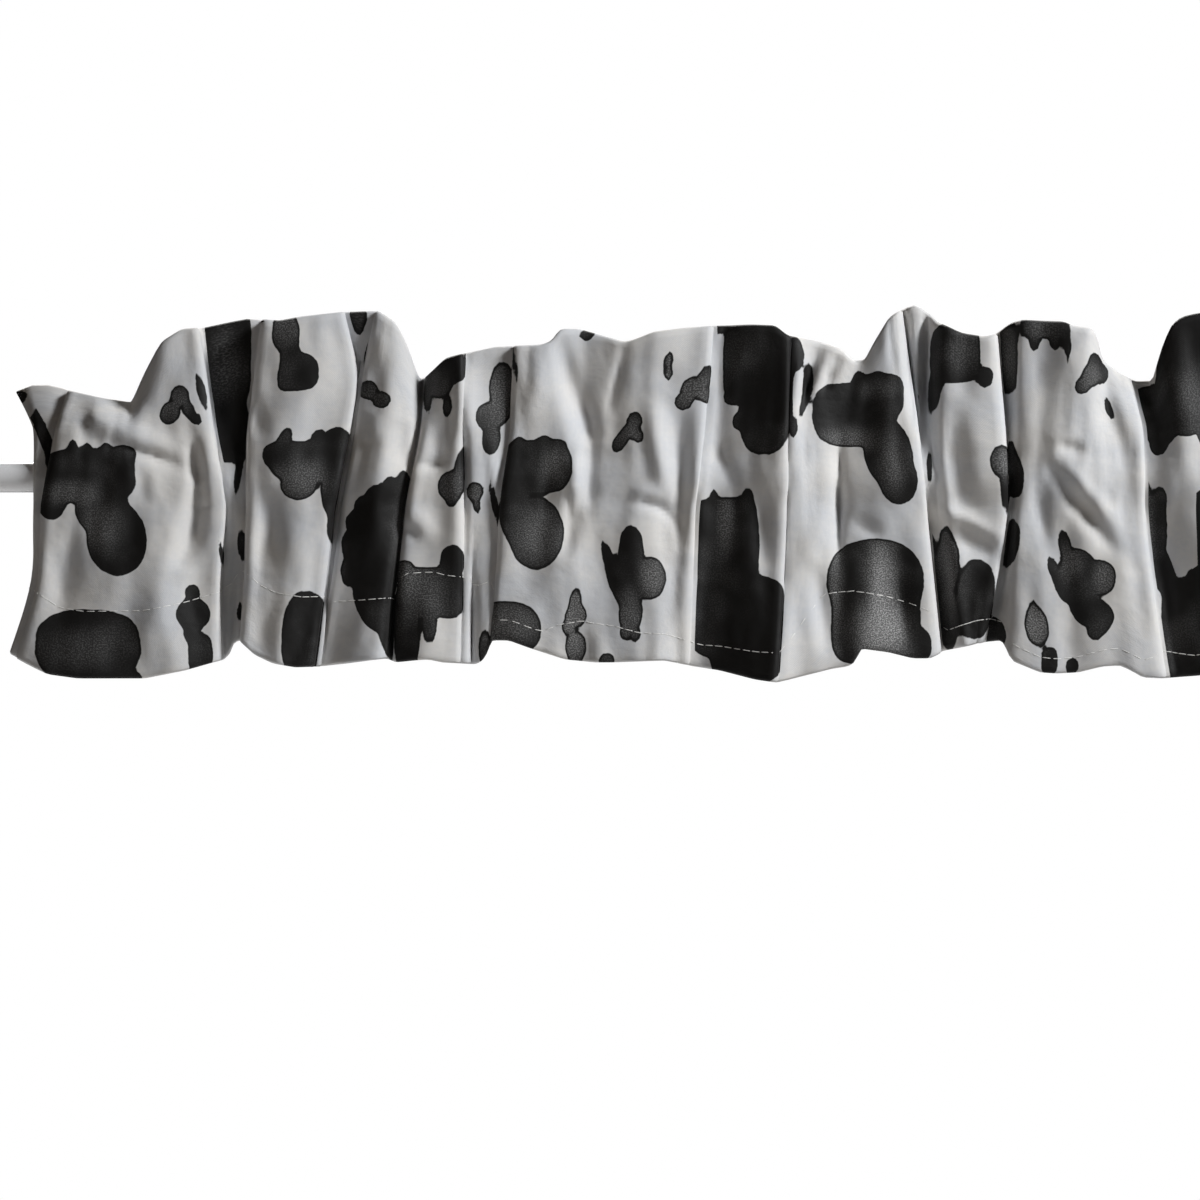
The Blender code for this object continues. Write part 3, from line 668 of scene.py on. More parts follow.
@dataclass(frozen=True)
class PrintedCotton:
    """Plain-weave cotton, white with black printed spots, as its right side or its paler wrong side; its
    print is painted grey in places, as painted sheen and random wear.
    """

    name: str = "printed_cotton"
    white: Color = (0.63, 0.61, 0.585, 1.0)
    shade: Color = (0.53, 0.535, 0.55, 1.0)
    ink: Color = (0.006, 0.0054, 0.005, 1.0)
    # grey that the black print is painted towards, as painted sheen and random wear
    sheen_and_wear_ink: Color = (0.34, 0.335, 0.33, 1.0)
    thread: float = 0.42 * MM
    ragged_scale: float = 170.0
    ragged: float = 1.15  # how far a spot's edge wanders, in millimetres
    edge_blur: float = 0.16
    sheen_and_wear_from: tuple[float, float] = (0.5, 1.3)  # how far inside its edge a spot starts to take its painted sheen and wear grey
    patch_scale: float = 34.0
    patch_range: tuple[float, float] = (0.45, 0.75)
    patch_wear: float = 0.16
    # how strongly the placed patches of painted sheen grey the print
    painted_sheen_weight: float = 0.8
    mottle_scale: float = 28.0
    mottle_range: tuple[float, float] = (0.3, 0.7)
    fleck_scale: float = 420.0
    fleck_share: float = 0.9
    grain_scale: float = 1500.0
    grain_range: tuple[float, float, float] = (0.42, 0.68, 0.25)  # its ends, and the least it lets through
    crush_scale: float = 130.0
    crush_rise: float = 0.9 * MM
    weave_rise: float = 0.1 * MM
    relief_share: float = 0.5
    bare_roughness: float = 0.75
    printed_roughness: float = 0.58
    sheen: float = 0.06
    sheen_roughness: float = 0.45
    specular: float = 0.2

    def material(self) -> bpy.types.Material:
        """Builds the cotton's material.

        Returns:
            The material, which reads the cloth's own UV map and its ink and painted sheen attributes.
        """
        g = Graph(self.name)
        flat = g.node("UVMap", uv_map="flat_cloth").outputs["UV"]
        ink, painted_sheen = (g.node("Attribute", attribute_name=name).outputs["Fac"] for name in ("ink", "painted_sheen"))
        wander = g.math("SUBTRACT", g.noise(flat, self.ragged_scale), 0.5)
        reach = g.math("MULTIPLY_ADD", wander, self.ragged, ink)
        printed = g.ramp(reach, -self.edge_blur, self.edge_blur)
        grain = g.noise(flat, self.grain_scale, 1.0)
        patches = g.ramp(g.noise(flat, self.patch_scale), *self.patch_range, 0.0, self.patch_wear)
        # painted sheen from the placed patches plus random wear patches, broken into speckles as painted
        # glints and kept off each spot's rim
        sheen_and_wear = g.math("ADD", g.math("MULTIPLY", painted_sheen, self.painted_sheen_weight), patches)
        speckled_sheen_and_wear = g.math("MULTIPLY", g.ramp(grain, *self.grain_range), sheen_and_wear)
        sheen_and_wear_share = g.math("MULTIPLY", speckled_sheen_and_wear, g.ramp(reach, *self.sheen_and_wear_from))
        fleck = g.math("SUBTRACT", g.noise(flat, self.fleck_scale, 3.0), 0.5)
        mottle = g.ramp(g.noise(flat, self.mottle_scale, 3.0), *self.mottle_range)
        cloth = g.mix(g.math("MULTIPLY_ADD", fleck, self.fleck_share, mottle), self.white, self.shade)
        axes = g.axes(flat)
        threads = [g.math("SINE", g.math("MULTIPLY", axes[axis], math.pi / self.thread)) for axis in "XY"]
        weave = g.math("MULTIPLY_ADD", g.math("MULTIPLY", *threads), 0.5, 0.5)
        crush = g.bump(g.noise(flat, self.crush_scale, 3.0), self.relief_share, self.crush_rise)
        looks = {
            "Base Color": g.mix(printed, cloth, g.mix(sheen_and_wear_share, self.ink, self.sheen_and_wear_ink)),
            "Roughness": g.ramp(printed, 0.0, 1.0, self.bare_roughness, self.printed_roughness),
            "Sheen Weight": self.sheen,
            "Sheen Roughness": self.sheen_roughness,
            "Specular IOR Level": self.specular,
            "Normal": g.bump(g.math("ADD", weave, grain), self.relief_share, self.weave_rise, crush),
        }
        return g.dress(looks)


@dataclass(frozen=True)
class SatinPaint:
    """White paint on the rod, satin, with the faint unevenness of a sprayed coat."""

    name: str = "white_satin_paint"
    fresh: Color = (0.93, 0.93, 0.94, 1.0)
    dusty: Color = (0.86, 0.86, 0.87, 1.0)
    dust_scale: float = 35.0
    dust_range: tuple[float, float] = (0.45, 0.8)
    gloss_scale: float = 180.0
    gloss_range: tuple[float, float] = (0.3, 0.8)
    roughness: tuple[float, float] = (0.24, 0.42)
    coat: float = 0.3
    coat_roughness: float = 0.2
    spray_scale: float = 900.0
    spray_share: float = 0.12
    spray_rise: float = 0.1 * MM

    def material(self) -> bpy.types.Material:
        """Builds the paint's material.

        Returns:
            The material, which reads Object coordinates.
        """
        g = Graph(self.name)
        place = g.node("TexCoord").outputs["Object"]
        dust = g.ramp(g.noise(place, self.dust_scale, 4.0), *self.dust_range)
        gloss = g.noise(place, self.gloss_scale, 3.0)
        looks = {
            "Base Color": g.mix(dust, self.fresh, self.dusty),
            "Roughness": g.ramp(gloss, *self.gloss_range, *self.roughness),
            "Coat Weight": self.coat,
            "Coat Roughness": self.coat_roughness,
            "Normal": g.bump(g.noise(place, self.spray_scale), self.spray_share, self.spray_rise),
        }
        return g.dress(looks)


@dataclass(frozen=True)
class WhiteThread:
    """White sewing thread with its twist, the grooves of the twist painted darker than its crests as painted
    shade.
    """

    name: str = "white_thread"
    # the crests take the thread's white; the grooves are painted darker, as painted shade
    crest: Color = (0.83, 0.82, 0.79, 1.0)
    shaded_groove: Color = (0.60, 0.585, 0.56, 1.0)
    twist: float = 0.5 * MM
    twist_share: float = 0.4
    twist_rise: float = 0.08 * MM
    roughness: float = 0.6
    sheen: float = 0.3

    def material(self) -> bpy.types.Material:
        """Builds the thread's material.

        Returns:
            The material, which reads Object coordinates.
        """
        g = Graph(self.name)
        axes = g.axes(g.node("TexCoord").outputs["Object"])
        slant = g.math("ADD", axes["X"], axes["Z"])
        ply = g.ramp(g.math("SINE", g.math("MULTIPLY", slant, 2.0 * math.pi / self.twist)), -1.0, 1.0)
        looks = {
            "Base Color": g.mix(ply, self.shaded_groove, self.crest),
            "Roughness": self.roughness,
            "Sheen Weight": self.sheen,
            "Normal": g.bump(ply, self.twist_share, self.twist_rise),
        }
        return g.dress(looks)


@dataclass
class CowPrint:
    """The printed spots, as a distance inside their edges for any place on the cloth."""

    spots: dict[Panel, tuple[Blot, ...]]
    blend: float = 0.9  # how softly the pieces of one spot run together
    repeat_across: float = 225.0
    repeat_rise: float = -2.5
    photo_end: float = 598.0
    back_width: float = 600.0
    back_height: float = 186.0
    back_shift: float = 140.0

    def depth(self, blots: Iterable[Blot], x: np.ndarray, z: np.ndarray) -> np.ndarray:
        """Distance inside the edge of the joined blots, below zero outside.

        Args:
            blots: The pieces of the spots.
            x: Distances along the rod.
            z: Heights on the cloth.

        Returns:
            One distance for each place.
        """
        total = np.full(x.shape, 1e-12)
        for blot in blots:
            lean = math.radians(blot.lean)
            dx, dz = x - blot.x, z - blot.z
            across = np.abs(dx * math.cos(lean) - dz * math.sin(lean)) / blot.across
            up = np.abs(dx * math.sin(lean) + dz * math.cos(lean)) / blot.up
            reach = (across**blot.square + up**blot.square) ** (1.0 / blot.square)
            inside = (1.0 - reach) * min(blot.across, blot.up)
            total += np.exp(np.clip(inside / self.blend, -25.0, 25.0))
        return self.blend * np.log(total)

    def painted_sheen(self, x: np.ndarray, z: np.ndarray) -> np.ndarray:
        """How strongly the patches of painted sheen grey the print.

        Args:
            x: Distances along the rod.
            z: Heights on the cloth.

        Returns:
            0 or more for each place.
        """
        sheen_amount = np.zeros(x.shape)
        for patch in PAINTED_SHEEN_PATCHES:
            reach = ((x - patch.x) / patch.across) ** 2 + ((z - patch.z) / patch.up) ** 2
            sheen_amount += patch.sheen_amount * np.exp(-(reach**1.5))
        return sheen_amount

    def ink(self, x: np.ndarray, z: np.ndarray, panel: np.ndarray, front: np.ndarray) -> np.ndarray:
        """Distance inside the print for every point of the cloth.

        Args:
            x: Distances along the rod.
            z: Heights on the cloth, unfolded over the top edge and under the hem.
            panel: Number of the panel that each point belongs to.
            front: True on the front of the valance, where the photo shows the print.

        Returns:
            Distance inside the nearest spot in millimetres, below zero on white cloth.
        """
        every = [blot for blots in self.spots.values() for blot in blots]
        found = np.zeros(x.shape)
        for name, blots in self.spots.items():
            here = front & (panel == name.value) & (x <= self.photo_end)
            found[here] = self.depth(blots, x[here], z[here])
        beyond = front & (x > self.photo_end)
        last = self.depth(self.spots[Panel.LAST], x[beyond], z[beyond])
        again = self.depth(every, x[beyond] - self.repeat_across, z[beyond] + self.repeat_rise)
        found[beyond] = np.maximum(last, again)
        behind = ~front
        row = np.where(z[behind] > 0.0, 1.0, -1.0)
        across = np.mod(x[behind] - row * self.back_shift, self.back_width)
        shown = self.depth(every, across, z[behind] - row * self.back_height)
        found[behind] = np.maximum(shown, self.depth(every, x[behind], z[behind]))
        return found


@dataclass
class Drape:
    """The gathered cloth's shape, worked out from the fold table, in millimetres."""

    folds: tuple[Fold, ...] = FOLDS
    creases: tuple[Crease, ...] = CREASES
    start: float = 30.0  # from the rod's left end to the zero of the tables
    rod_radius: float = 8.0
    rod_gap: float = 0.5
    back_gap: float = 1.2
    layer_gap: float = 2.1  # between the middles of the front and the back
    turn_up_gap: float = 1.1
    seat_seam: float = -14.0
    neck_seam: float = 12.0
    neck_line: float = 23.5
    tail: float = 5.0
    crest_setback: float = 1.8  # of the sewing lines behind the cloth over the rod, at a crest
    valley_setback: float = 3.0
    highest_out: float = 24.0
    back_share: float = 0.3
    tall_header: float = 66.0
    curl_share: float = 0.4
    loose_spread: float = 6.0
    # distance past the edge and share of the depth, from the cloth behind out to the cloth in front
    bends: tuple[tuple[float, float], ...] = (
        (-3.0, 0.9), (-1.2, 1.0), (0.6, 0.85), (0.55, 0.5), (0.5, 0.15), (2.2, 0.0)
    )
    bend_soft: float = 0.7
    deepest_above: float = 14.0  # of a tuck in the header
    step: float = 0.25
    edge_soft: float = 1.7  # how far the corners of the two edges are rounded
    across_soft: float = 0.2  # how many levels the corners between heights are rounded over, along the rod
    out_soft: float = 0.12  # the same for how far the cloth stands out
    ripples: tuple[tuple[float, float], ...] = ((52.0, 1.2), (30.0, 0.9), (17.0, 0.42), (10.0, 0.14))
    waves: int = 5  # of each length and size in ripples
    ripple_lean: float = 0.9  # how far from upright a ripple may run, in radians
    ripple_stretch: float = 0.6  # of the ripples up the cloth
    seed: int = 7
    pucker_pitch: float = 7.3
    pucker_out: float = 0.22
    pucker_reach: float = 9.0  # above and below a sewing line
    pucker_waver: float = 1.7  # how much the pitch wanders, in radians
    waver_length: float = 11.0
    pucker_fade: float = 0.4  # how much the height varies
    fade_length: float = 17.0
    crease_fade: float = 0.7  # of a crease towards its ends, where less is blunter
    relief: float = 1.75  # how much deeper than in the table the creases are pressed
    shade_across: float = 0.55  # the table gives where a crease's shade shows in light from the upper
    shade_down: float = 0.3  # right, and its middle lies this share of its width to the left and below
    turns: Turn = field(init=False)
    panel_edges: list[float] = field(init=False)
    along: np.ndarray = field(init=False)

    # levels of the cloth, from the hem up
    HEM, KNEE, SEAT, NECK, RUFFLE, BROW, TOP = 0.0, 0.5, 1.0, 2.0, 2.4, 2.5, 3.0

    def __post_init__(self) -> None:
        """Works out the turns of the cloth and where the panels part."""
        rows: list[list[float]] = []
        parts: list[int] = []
        for fold in self.folds:
            if fold.tuck:
                for across, share in self.bends[:: fold.tuck]:
                    if share == 1.0:
                        parts.append(len(rows))
                    rows.append(self.bend(fold, fold.tuck * across, share))
            else:
                rows.append([*fold[:7], fold.soft, fold.brow, fold.knee])
        self.turns = Turn(*np.array(rows).T)
        spans = [np.hypot(*np.diff(self.corners(level))) for level in (self.HEM, self.SEAT, self.RUFFLE)]
        self.along = np.concatenate([[0.0], np.cumsum(np.mean(spans, axis=0))])
        self.panel_edges = [float(self.along[part]) for part in parts]

    def bend(self, fold: Fold, across: float, share: float) -> list[float]:
        """One of the rounded bends of an edge that other cloth runs in behind.

        Args:
            fold: The edge.
            across: How far past the edge the bend lies.
            share: Share of the tuck's depth at which it lies.

        Returns:
            A row of the table of turns.
        """
        deepest = max(fold.rod - fold.deep, self.rod_radius + self.rod_gap)
        places = [place + across for place in (fold.top, fold.neck, fold.seat, fold.hem)]
        outs = [
            fold.head - share * min(fold.deep, self.deepest_above),
            fold.rod + share * (deepest - fold.rod),
            fold.foot - share * fold.deep,
        ]
        return [*places, *outs, self.bend_soft, fold.brow, fold.knee]

    def edge(self, table: tuple[Level, ...], x: np.ndarray) -> np.ndarray:
        """Heights of one of the cloth's two edges at distances along the rod."""
        return self.eased(*np.array(table, float).T, x, self.edge_soft)

    @staticmethod
    def eased(
        at: np.ndarray, values: np.ndarray, where: np.ndarray, spread: np.ndarray | float
    ) -> np.ndarray:
        """Straight stretches through values at the places at, with rounded corners.

        Args:
            at: Places of the values.
            values: The values.
            where: Places asked for.
            spread: How far the corners are rounded.

        Returns:
            The value at each place asked for.
        """
        steps = np.linspace(-1.5, 1.5, 9)
        shares = np.exp(-(steps**2))
        ends = np.concatenate([[2 * at[0] - at[1]], at, [2 * at[-1] - at[-2]]])
        reach = np.concatenate([[2 * values[0] - values[1]], values, [2 * values[-1] - values[-2]]])
        parts = (share * np.interp(where + step * spread, ends, reach) for step, share in zip(steps, shares))
        return sum(parts) / shares.sum()

    def shares(self, stations: tuple[float, ...], level: float, spread: float) -> np.ndarray:
        """Share that each station has in a level, with the corners between them rounded over spread."""
        at, where = np.array(stations), np.array([level])
        return np.array([self.eased(at, alone, where, spread)[0] for alone in np.eye(len(at))])

    def seam_out(self, rod: np.ndarray) -> np.ndarray:
        """How far out a sewing line lies, where the cloth over the rod stands rod out."""
        crest = np.clip((rod - self.rod_radius) / (self.highest_out - self.rod_radius), 0.0, 1.0)
        return rod - self.valley_setback + (self.valley_setback - self.crest_setback) * crest

    def seam_level(self) -> float:
        """Level of the sewing line above the rod."""
        return self.SEAT + (self.neck_seam - self.seat_seam) / (self.neck_line - self.seat_seam)

    def corners(self, level: float) -> np.ndarray:
        """Distance along the rod and distance out of every turn.

        Args:
            level: 0 at the hem, 1 at the seam below the rod, 2 above it, 3 at the top edge.

        Returns:
            Two rows with a column for each turn.
        """
        top, neck, seat, hem, head, rod, foot, _, brow, knee = self.turns
        low = self.tall_header - self.edge(TOP_EDGE, top)
        curl = self.curl_share * np.maximum(low, 0.0)
        seam = self.seam_out(rod)
        stations = (self.HEM, self.KNEE, self.SEAT, self.NECK, self.BROW, self.TOP)
        places = np.array([hem, (hem + seat) / 2 + knee, seat, neck, (neck + top) / 2 + brow, top])
        depths = (self.HEM, self.SEAT, self.seam_level(), self.RUFFLE, self.TOP)
        outs = np.array([foot, seam, seam, head, head - curl])
        x = self.shares(stations, level, self.across_soft) @ places
        y = self.shares(depths, level, self.out_soft) @ outs
        return np.array([x, y])

    def line(self, level: float, along: np.ndarray, spread: float | None = None) -> np.ndarray:
        """Points of the middle of the cloth at one level.

        Args:
            level: The level.
            along: Distances along the flat cloth.
            spread: Rounding of every turn, or None for each turn's own.

        Returns:
            One row of x, distance out and height for each distance.
        """
        if spread is None:
            spread = np.interp(along, self.along, self.turns.soft)
        x, y = (self.eased(self.along, row, along, spread) for row in self.corners(level))
        edges = (self.turns.hem, self.turns.top)
        hem, top = (self.eased(self.along, row, along, spread) for row in edges)
        share = self.shares((self.HEM, self.SEAT, self.NECK, self.TOP), level, 0.0)
        z = share[0] * self.edge(HEM_EDGE, hem) + share[1] * self.seat_seam
        z += share[2] * self.neck_line + share[3] * self.edge(TOP_EDGE, top)
        return np.array([x, y, z]).T

    def columns(self, widest: float, widest_unseen: float, photo_end: float) -> np.ndarray:
        """Distances along the cloth of its columns of points.

        Args:
            widest: Distance between columns where the photo shows the cloth.
            widest_unseen: The same past the photo's right edge.
            photo_end: Distance along the rod where the photo ends.

        Returns:
            Every turn, and places in between.
        """
        seat = self.corners(self.SEAT)[0]
        places = []
        for start, end, x in zip(self.along[:-1], self.along[1:], seat):
            count = max(1, math.ceil((end - start) / (widest if x < photo_end else widest_unseen) - 0.25))
            places.append(np.linspace(start, end, count, endpoint=False))
        return np.concatenate([*places, self.along[-1:]])

    def panel(self, along: np.ndarray) -> np.ndarray:
        """Number of the panel at each distance along the cloth."""
        return np.searchsorted(self.panel_edges, along)

    def ripple(self, along: np.ndarray, z: np.ndarray) -> np.ndarray:
        """Small unevenness of the cloth, the same on every run.

        Args:
            along: Distances along the flat cloth.
            z: Heights.

        Returns:
            How far out each point moves.
        """
        source = np.random.default_rng(self.seed)
        moved = np.zeros(np.broadcast(along, z).shape)
        for length, size in self.ripples:
            for _ in range(self.waves):
                angle = source.uniform(-self.ripple_lean, self.ripple_lean)
                phase = source.uniform(0.0, 2.0 * math.pi)
                run = along * math.cos(angle) + self.ripple_stretch * z * math.sin(angle)
                wave = run * 2.0 * math.pi / length
                moved += size * np.sin(wave + phase) / math.sqrt(self.waves)
        return moved

    def pucker(self, along: np.ndarray, z: np.ndarray) -> np.ndarray:
        """Small gathers that run away from the two sewing lines.

        Args:
            along: Distances along the flat cloth.
            z: Heights.

        Returns:
            How far out each point moves.
        """
        seams = (self.neck_seam, self.seat_seam)
        near = sum(np.exp(-(((z - seam) / self.pucker_reach) ** 2)) for seam in seams)
        waver = self.pucker_waver * np.sin(along / self.waver_length)
        fade = 1.0 - self.pucker_fade + self.pucker_fade * np.sin(along / self.fade_length)
        return self.pucker_out * near * np.sin(along * 2.0 * math.pi / self.pucker_pitch + waver) * fade

    def creased(self, x: np.ndarray, z: np.ndarray) -> np.ndarray:
        """How far out the placed creases move the cloth.

        Args:
            x: Distances along the rod.
            z: Heights.

        Returns:
            How far out each point moves.
        """
        moved = np.zeros(x.shape)
        for c in self.creases:
            run = np.array([c.x1 - c.x0, c.z1 - c.z0])
            length = float(np.hypot(*run))
            run = run / length
            dx = x - c.x0 + self.shade_across * c.width
            dz = z - c.z0 + self.shade_down * c.width
            share = (dx * run[0] + dz * run[1]) / length
            inner = np.clip(share, 0.0, 1.0)
            side = dz * run[0] - dx * run[1] - 4.0 * c.bow * inner * (1.0 - inner)
            past = np.maximum(np.abs(share - inner) * length - c.width, 0.0)
            away = np.sqrt(side**2 + past**2) / c.width
            ends = np.sin(math.pi * np.clip(share, 0.02, 0.98)) ** self.crease_fade
            moved += c.depth * np.exp(-(away**c.crisp)) * ends
        return self.relief * moved

    def piece(
        self, name: str, points: np.ndarray, faces: list[list[int]], *finishes: bpy.types.Material
    ) -> bpy.types.Object:
        """Makes a smooth piece from points in the tables' measure.

        Args:
            name: Its name.
            points: Distance along the rod, distance out and height of each point.
            faces: Numbers of the corners of each face.
            *finishes: Its materials.

        Returns:
            The piece, in metres in the scene.
        """
        placed = np.stack([self.start + points[..., 0], -points[..., 1], points[..., 2]], axis=-1) * MM
        mesh = bpy.data.meshes.new(name)
        mesh.from_pydata(placed.reshape(-1, 3).tolist(), [], faces)
        mesh.shade_smooth()
        for finish in finishes:
            mesh.materials.append(finish)
        return link(name, mesh)


@dataclass
class ValanceCloth:
    """The valance: one sheet of printed cotton, gathered on the rod."""

    drape: Drape = field(default_factory=Drape)
    cow_print: CowPrint = field(default_factory=lambda: CowPrint(PRINT))
    right_side: PrintedCotton = field(default_factory=PrintedCotton)
    wrong_side: PrintedCotton = field(
        default_factory=lambda: PrintedCotton(
            "printed_cotton_wrong_side", ink=(0.16, 0.155, 0.15, 1.0), sheen_and_wear_ink=(0.24, 0.23, 0.22, 1.0)
        )
    )
    thickness: float = 0.42
    widest_column: float = 2.15
    widest_unseen: float = 3.4
    photo_end: float = 600.0
    skirt_rows: int = 40
    pocket_rows: int = 13
    header_rows: int = 28
    lining_rows: int = 12
    back_rows: int = 9
    turn_up_rows: int = 7
    level_step: float = 0.02  # between the levels that give the cloth's slope
    rod_margin: float = 0.3
    back_arc: tuple[float, float] = (62.0, -56.0)  # angles round the rod between its rows behind
    seam_allowance: float = 0.03  # levels that the turned-up edge reaches above its stitching
    lowest_turned: float = 0.04  # share of the turn-up at its row next to the fold
    lowest_skirt: float = 0.012  # level of the skirt's row next to the fold
    tail_from: float = 0.95  # level towards which the tail runs down from the lower seam
    highest_sewn: float = 0.8  # level below which the hem's stitching always lies
    sewn_steps: int = 16
    back_roundness: float = 2 / 3  # of the pocket behind the rod, where 1 is an ellipse
    front_roundness: float = 1.3  # of the pocket before the rod, where 1 is a plain sine
    flat_width: float = 0.82
    flat_length: float = 0.316

    def normals(self, level: float, along: np.ndarray) -> np.ndarray:
        """Directions that point out of the front of the cloth at one level.

        Args:
            level: The level.
            along: Distances along the flat cloth.

        Returns:
            A direction of length 1 for each distance.
        """
        step, d = self.drape.step, self.drape
        across = d.line(level, along + step) - d.line(level, along - step)
        low, high = max(level - self.level_step, d.HEM), min(level + self.level_step, d.TOP)
        return unit(np.cross(d.line(high, along) - d.line(low, along), across))

    def layer(self, level: float, along: np.ndarray, offset: float) -> np.ndarray:
        """Points of a layer of the cloth, offset millimetres before its middle."""
        return self.drape.line(level, along) + offset * self.normals(level, along)

    def uneven_layer(self, levels: np.ndarray, along: np.ndarray, offset: float) -> np.ndarray:
        """Points of a layer whose level changes from column to column.

        Args:
            levels: A level for each column.
            along: Distances along the flat cloth.
            offset: How far before the middle the layer lies.

        Returns:
            One point for each column.
        """
        stations = np.linspace(0.0, self.highest_sewn, self.sewn_steps + 1)
        grid = np.array([self.layer(float(level), along, offset) for level in stations])
        place = np.clip(levels / self.highest_sewn * self.sewn_steps, 0.0, self.sewn_steps - 0.001)
        low = place.astype(int)
        share = (place - low)[:, None]
        index = np.arange(len(along))
        return grid[low, index] * (1.0 - share) + grid[low + 1, index] * share

    def sewn_level(self, along: np.ndarray) -> np.ndarray:
        """Level of the hem's stitching.

        Args:
            along: Distances along the flat cloth.

        Returns:
            A level for each distance.
        """
        d = self.drape
        x, _, z = d.line(d.HEM, along).T
        return np.interp(x, *np.array(HEM_HEIGHTS, float).T) / (d.seat_seam - z)

    def pocket(self, low: np.ndarray, high: np.ndarray, along: np.ndarray) -> list[np.ndarray]:
        """Rows of the cloth over the front of the rod.

        Args:
            low: The row at the seam below the rod.
            high: The row at the seam above it.
            along: Distances along the flat cloth.

        Returns:
            The rows between the two.
        """
        d = self.drape
        spread = np.interp(along, d.along, d.turns.soft)
        least = d.rod_radius + d.rod_gap + self.rod_margin
        out = np.maximum(d.eased(d.along, d.turns.rod, along, spread), least)
        rows = []
        for step in range(1, self.pocket_rows):
            rise = step / self.pocket_rows
            row = low + (high - low) * rise
            row[:, 1] += (out - row[:, 1]) * math.sin(math.pi * rise) ** self.front_roundness
            rows.append(row)
        return rows

    def behind(
        self, low: np.ndarray, high: np.ndarray, along: np.ndarray
    ) -> tuple[list[np.ndarray], list[float]]:
        """Rows of the cloth behind the rod, and how far each keeps the front's creases.

        Args:
            low: The row at the seam below the rod.
            high: The row at the seam above it.
            along: Distances along the flat cloth.

        Returns:
            The rows from the upper seam to the lower one, and a share for each.
        """
        d = self.drape
        rod = d.eased(d.along, d.turns.rod, along, d.loose_spread)
        furthest = -(d.rod_radius + d.back_gap) - d.back_share * (d.highest_out - rod)
        middles = [d.line(level, along, d.loose_spread) for level in (d.SEAT, d.seam_level())]
        rows, shares = [], []
        for angle in np.radians(np.linspace(*self.back_arc, self.back_rows)):
            rise = (np.sign(angle) * abs(math.sin(angle)) ** self.back_roundness + 1) / 2
            bulge = abs(math.cos(angle)) ** self.back_roundness
            seam = low + (high - low) * rise
            middle = middles[0] + (middles[1] - middles[0]) * rise
            middle[:, 1] = furthest
            rows.append(seam + (middle - seam) * bulge)
            shares.append(1.0 - bulge)
        return rows, shares

    def rows(self, along: np.ndarray) -> tuple[np.ndarray, np.ndarray, int, int]:
        """Every row of the cloth's points, from the raw edge of the hem to the tail.

        Args:
            along: Distances along the flat cloth of the columns.

        Returns:
            The points, each row's share of the creases, and the numbers of the hem's row and the top's.
        """
        d = self.drape
        half = d.layer_gap / 2
        inner = half - d.turn_up_gap
        seam = d.seam_level()
        raw = self.sewn_level(along) + self.seam_allowance
        turned = [
            self.uneven_layer(raw * share, along, inner)
            for share in np.linspace(1.0, self.lowest_turned, self.turn_up_rows)
        ]
        fold = (self.layer(d.HEM, along, half) + self.layer(d.HEM, along, inner)) / 2
        skirt, header, lining = (
            [self.layer(float(level), along, offset) for level in np.linspace(start, end, count)]
            for start, end, count, offset in (
                (self.lowest_skirt, d.SEAT, self.skirt_rows, half),
                (seam, d.TOP, self.header_rows, half),
                (d.TOP, seam, self.lining_rows, -half),
            )
        )
        crown = (header[-1] + lining[0]) / 2 + [0.0, 0.0, half]
        seat_back = self.layer(d.SEAT, along, -half)
        tail = seat_back + d.tail * unit(self.layer(self.tail_from, along, -half) - seat_back)
        back, shares = self.behind(seat_back, lining[-1], along)
        front = [*skirt, *self.pocket(skirt[-1], header[0], along), *header]
        every = [*turned, fold, *front, crown, *lining, *back, seat_back, tail]
        kept = [1.0] * (len(turned) + 1 + len(front) + 1 + len(lining)) + shares + [1.0, 1.0]
        return np.array(every), np.array(kept), len(turned), len(turned) + 1 + len(front)

    def placed(self, along: np.ndarray) -> tuple[np.ndarray, np.ndarray, int, int]:
        """The rows with their creases and unevenness.

        Args:
            along: Distances along the flat cloth of the columns.

        Returns:
            The points, the points before the creases, and the numbers of the hem's row and the top's.
        """
        d = self.drape
        plain, kept, hem, top = self.rows(along)
        x, z = plain[..., 0], plain[..., 2]
        moved = plain.copy()
        shift = d.creased(x, z) + d.ripple(along[None, :], z) + d.pucker(along[None, :], z)
        moved[..., 1] += kept[:, None] * shift
        rod_out = np.sqrt(np.maximum((d.rod_radius + d.rod_gap) ** 2 - z**2, 0.0))
        over = (np.abs(z) < d.rod_radius + d.rod_gap) & (moved[..., 1] > 0.0)
        moved[..., 1] = np.where(over, np.maximum(moved[..., 1], rod_out + self.thickness / 2), moved[..., 1])
        return moved, plain, hem, top

